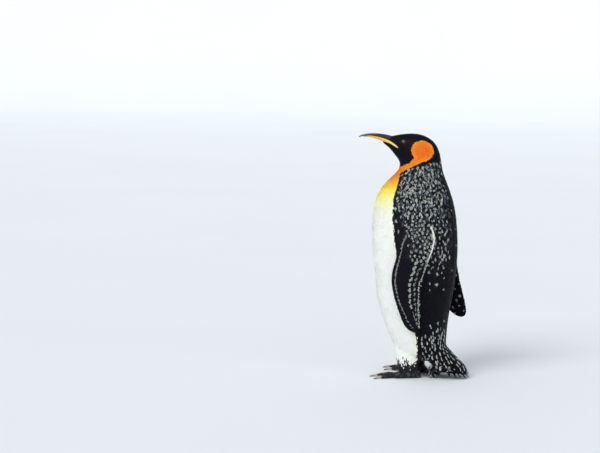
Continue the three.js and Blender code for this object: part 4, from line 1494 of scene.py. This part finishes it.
def eye_finish():
    """A wet eye: dark pupil, brown iris with fine spokes, and a dark white."""
    material, tree, shader = new_finish(
        "brown_eye", roughness=0.12, Coat_Weight=1.0, Coat_Roughness=0.03,
    )
    angle, east, north = three_of(tree, "ring")
    spokes = add(tree, "CombineXYZ", {0: east, 1: north, 2: times(tree, angle, SPOKE_TWIST)})
    streak = add(tree, "TexNoise", {"Vector": spokes, "Scale": 9.0, "Detail": 4.0})
    iris = mixed(tree, ranged(tree, streak, *SPOKE_RANGE), *IRIS_SPOKES)
    iris = mixed(tree, ranged(tree, angle, *IRIS_DARKENED), iris, IRIS_RIM)
    seen = mixed(tree, ranged(tree, angle, *PUPIL_EDGE), PUPIL_BLACK, iris)
    white = mixed(tree, streak, *EYE_WHITE)
    colour = mixed(tree, ranged(tree, angle, *IRIS_EDGE), seen, white)
    tree.links.new(colour, shader.inputs["Base Color"])
    return material


CLAWS = [f"claw_{side}_{toe}" for side in SIDES for toe in ("inner", "middle", "outer", "hind")]


def make_claws():
    parts = []
    for node in CLAWS:
        claw = copied_nodes(node + "_horn", [node])
        modify(claw, "SUBSURF", levels=2, render_levels=2)
        points = points_of(claw.data)
        ahead = -np.abs(points[:, 0] - MIDLINE.x) if "hind" in node else -points[:, 1]
        reach = (ahead - ahead.min()) / np.ptp(ahead)
        high = (points[:, 2] - points[:, 2].min()) / np.ptp(points[:, 2])
        set_attribute(claw.data, "horn", reach, high, 0)
        parts.append(claw)
    activate(*parts)
    bpy.ops.object.join()
    claws = bpy.context.object
    claws.name = claws.data.name = "claws"
    bpy.ops.object.shade_smooth()
    return claws


def claw_finish():
    """Horn claws: grey-black at the root and tip, paler along the middle."""
    material, tree, shader = new_finish(
        "dark_claw_horn", roughness=0.35, Coat_Weight=0.2, Coat_Roughness=0.2,
    )
    reach, high, _ = three_of(tree, "horn")
    lines = noise_over(tree, scale=300.0, detail=2.0)
    pale = mixed(tree, ranged(tree, lines, *CLAW_LINES), *CLAW_PALE)
    amount = times(tree, ranged(tree, reach, *CLAW_ROOT), ranged(tree, reach, *CLAW_TIP))
    amount = times(tree, amount, ranged(tree, high, *CLAW_HEIGHT))
    tree.links.new(mixed(tree, amount, CLAW_BLACK, pale), shader.inputs["Base Color"])
    return material


QUILL_VANE = ((0.16, 0.36, 0.52, 0.70, 0.85, 0.94), (0.55, 0.85, 1.0, 0.84, 0.50, 0.24))
QUILL_START = 0.38  # of the way from the tail's root to the quill's tip
QUILL_SPAN = math.radians(224)
QUILL_ASIDE = 0.22  # of the way to the next quill
QUILL_UPWARD = 0.5  # millimetres
QUILL_LENGTHS, QUILL_WIDTHS = (0.93, 1.0), (0.9, 1.1)
QUILL_SILVER = 0.3
QUILL_LAYERS = (  # how many, height off the middle layer, length and half width
    (13, 0.0, 1.0, 10.5 * MM), (14, 3.6 * MM, 0.76, 9.0 * MM), (14, -3.2 * MM, 0.80, 8.5 * MM),
)


def tail_quills(rng):
    """Stiff quills all round the tail's hem, in layers, with the middle tips just above the floor."""
    roots, ways, lengths, halves = [], [], [], []
    for number, height, long, half in QUILL_LAYERS:
        for i in range(number):
            place = (i + rng.uniform(-QUILL_ASIDE, QUILL_ASIDE)) / (number - 1)
            around = (place - 0.5) * QUILL_SPAN
            reach = tail_tip(around) - TAIL_ROOT
            way = unit(reach)
            up = unit(UP - way * way[2])
            upward = rng.uniform(-QUILL_UPWARD, QUILL_UPWARD) * MM
            roots.append(TAIL_ROOT + reach * QUILL_START + up * (height + upward))
            ways.append(way)
            lengths.append(np.linalg.norm(reach) * (long * rng.uniform(*QUILL_LENGTHS) - QUILL_START))
            halves.append(half * rng.uniform(*QUILL_WIDTHS))
    count = len(roots)
    ways = np.array(ways)
    plain = ("lift", "hang", "bend", "fleck", "white", "warm", "cream", "tipped")
    return {
        "root": np.array(roots) + np.array(MIDLINE),
        "normal": unit(UP - ways * ways[:, 2:]),
        "lie": ways,
        "length": np.array(lengths),
        "half": np.array(halves),
        "tone": rng.random(count),
        "silver": rng.uniform(0, QUILL_SILVER, count),
        "unwrap": np.stack([np.linspace(0, 1, count), rng.random(count)], 1),
        **{key: np.zeros(count) for key in plain},
    }


def make_tail(finish):
    rng = np.random.default_rng(TAIL_SEED)
    quills = vane_mesh("tail_feathers", tail_quills(rng), vane_template(*QUILL_VANE), rng, None)
    finished(quills, "black_feathers", finish, "tail")


make_camera()
make_floor()
make_lights()
flippers = [Flipper(side) for side in SIDES]
skin = make_skin()
paint_skin(skin, flippers)
finishes = {
    "white_feathers": feather_finish("white_feathers", 0.62, 0.28, 0.12),
    "orange_feathers": feather_finish("orange_feathers", 0.58, 0.28, 0.10),
    "silver_feathers": feather_finish("silver_feathers", 0.50, 0.06, 0.0),
    "black_feathers": feather_finish("black_feathers", 0.46, 0.06, 0.0),
}
make_coat(skin, flippers, finishes)
drop_crumbs(skin)
modify(skin, "DECIMATE", ratio=SKIN_TRIMMED)
make_tail(finishes["black_feathers"])
for name, node, slot, colours, roughness in (
    ("upper_bill", "bill_upper", "black_bill_horn", BLACK_HORN, 0.28),
    ("lower_bill", "bill_lower", "orange_bill_horn", LOWER_HORN, 0.32),
):
    half = make_bill_half(name, node)
    finished(half, slot, horn_finish(slot, *colours, roughness), node)
eye_look = eye_finish()
for side in SIDES:
    finished(make_eye(side), "brown_eye", eye_look, f"eye_{side}")
finished(make_claws(), "dark_claw_horn", claw_finish(), *CLAWS)
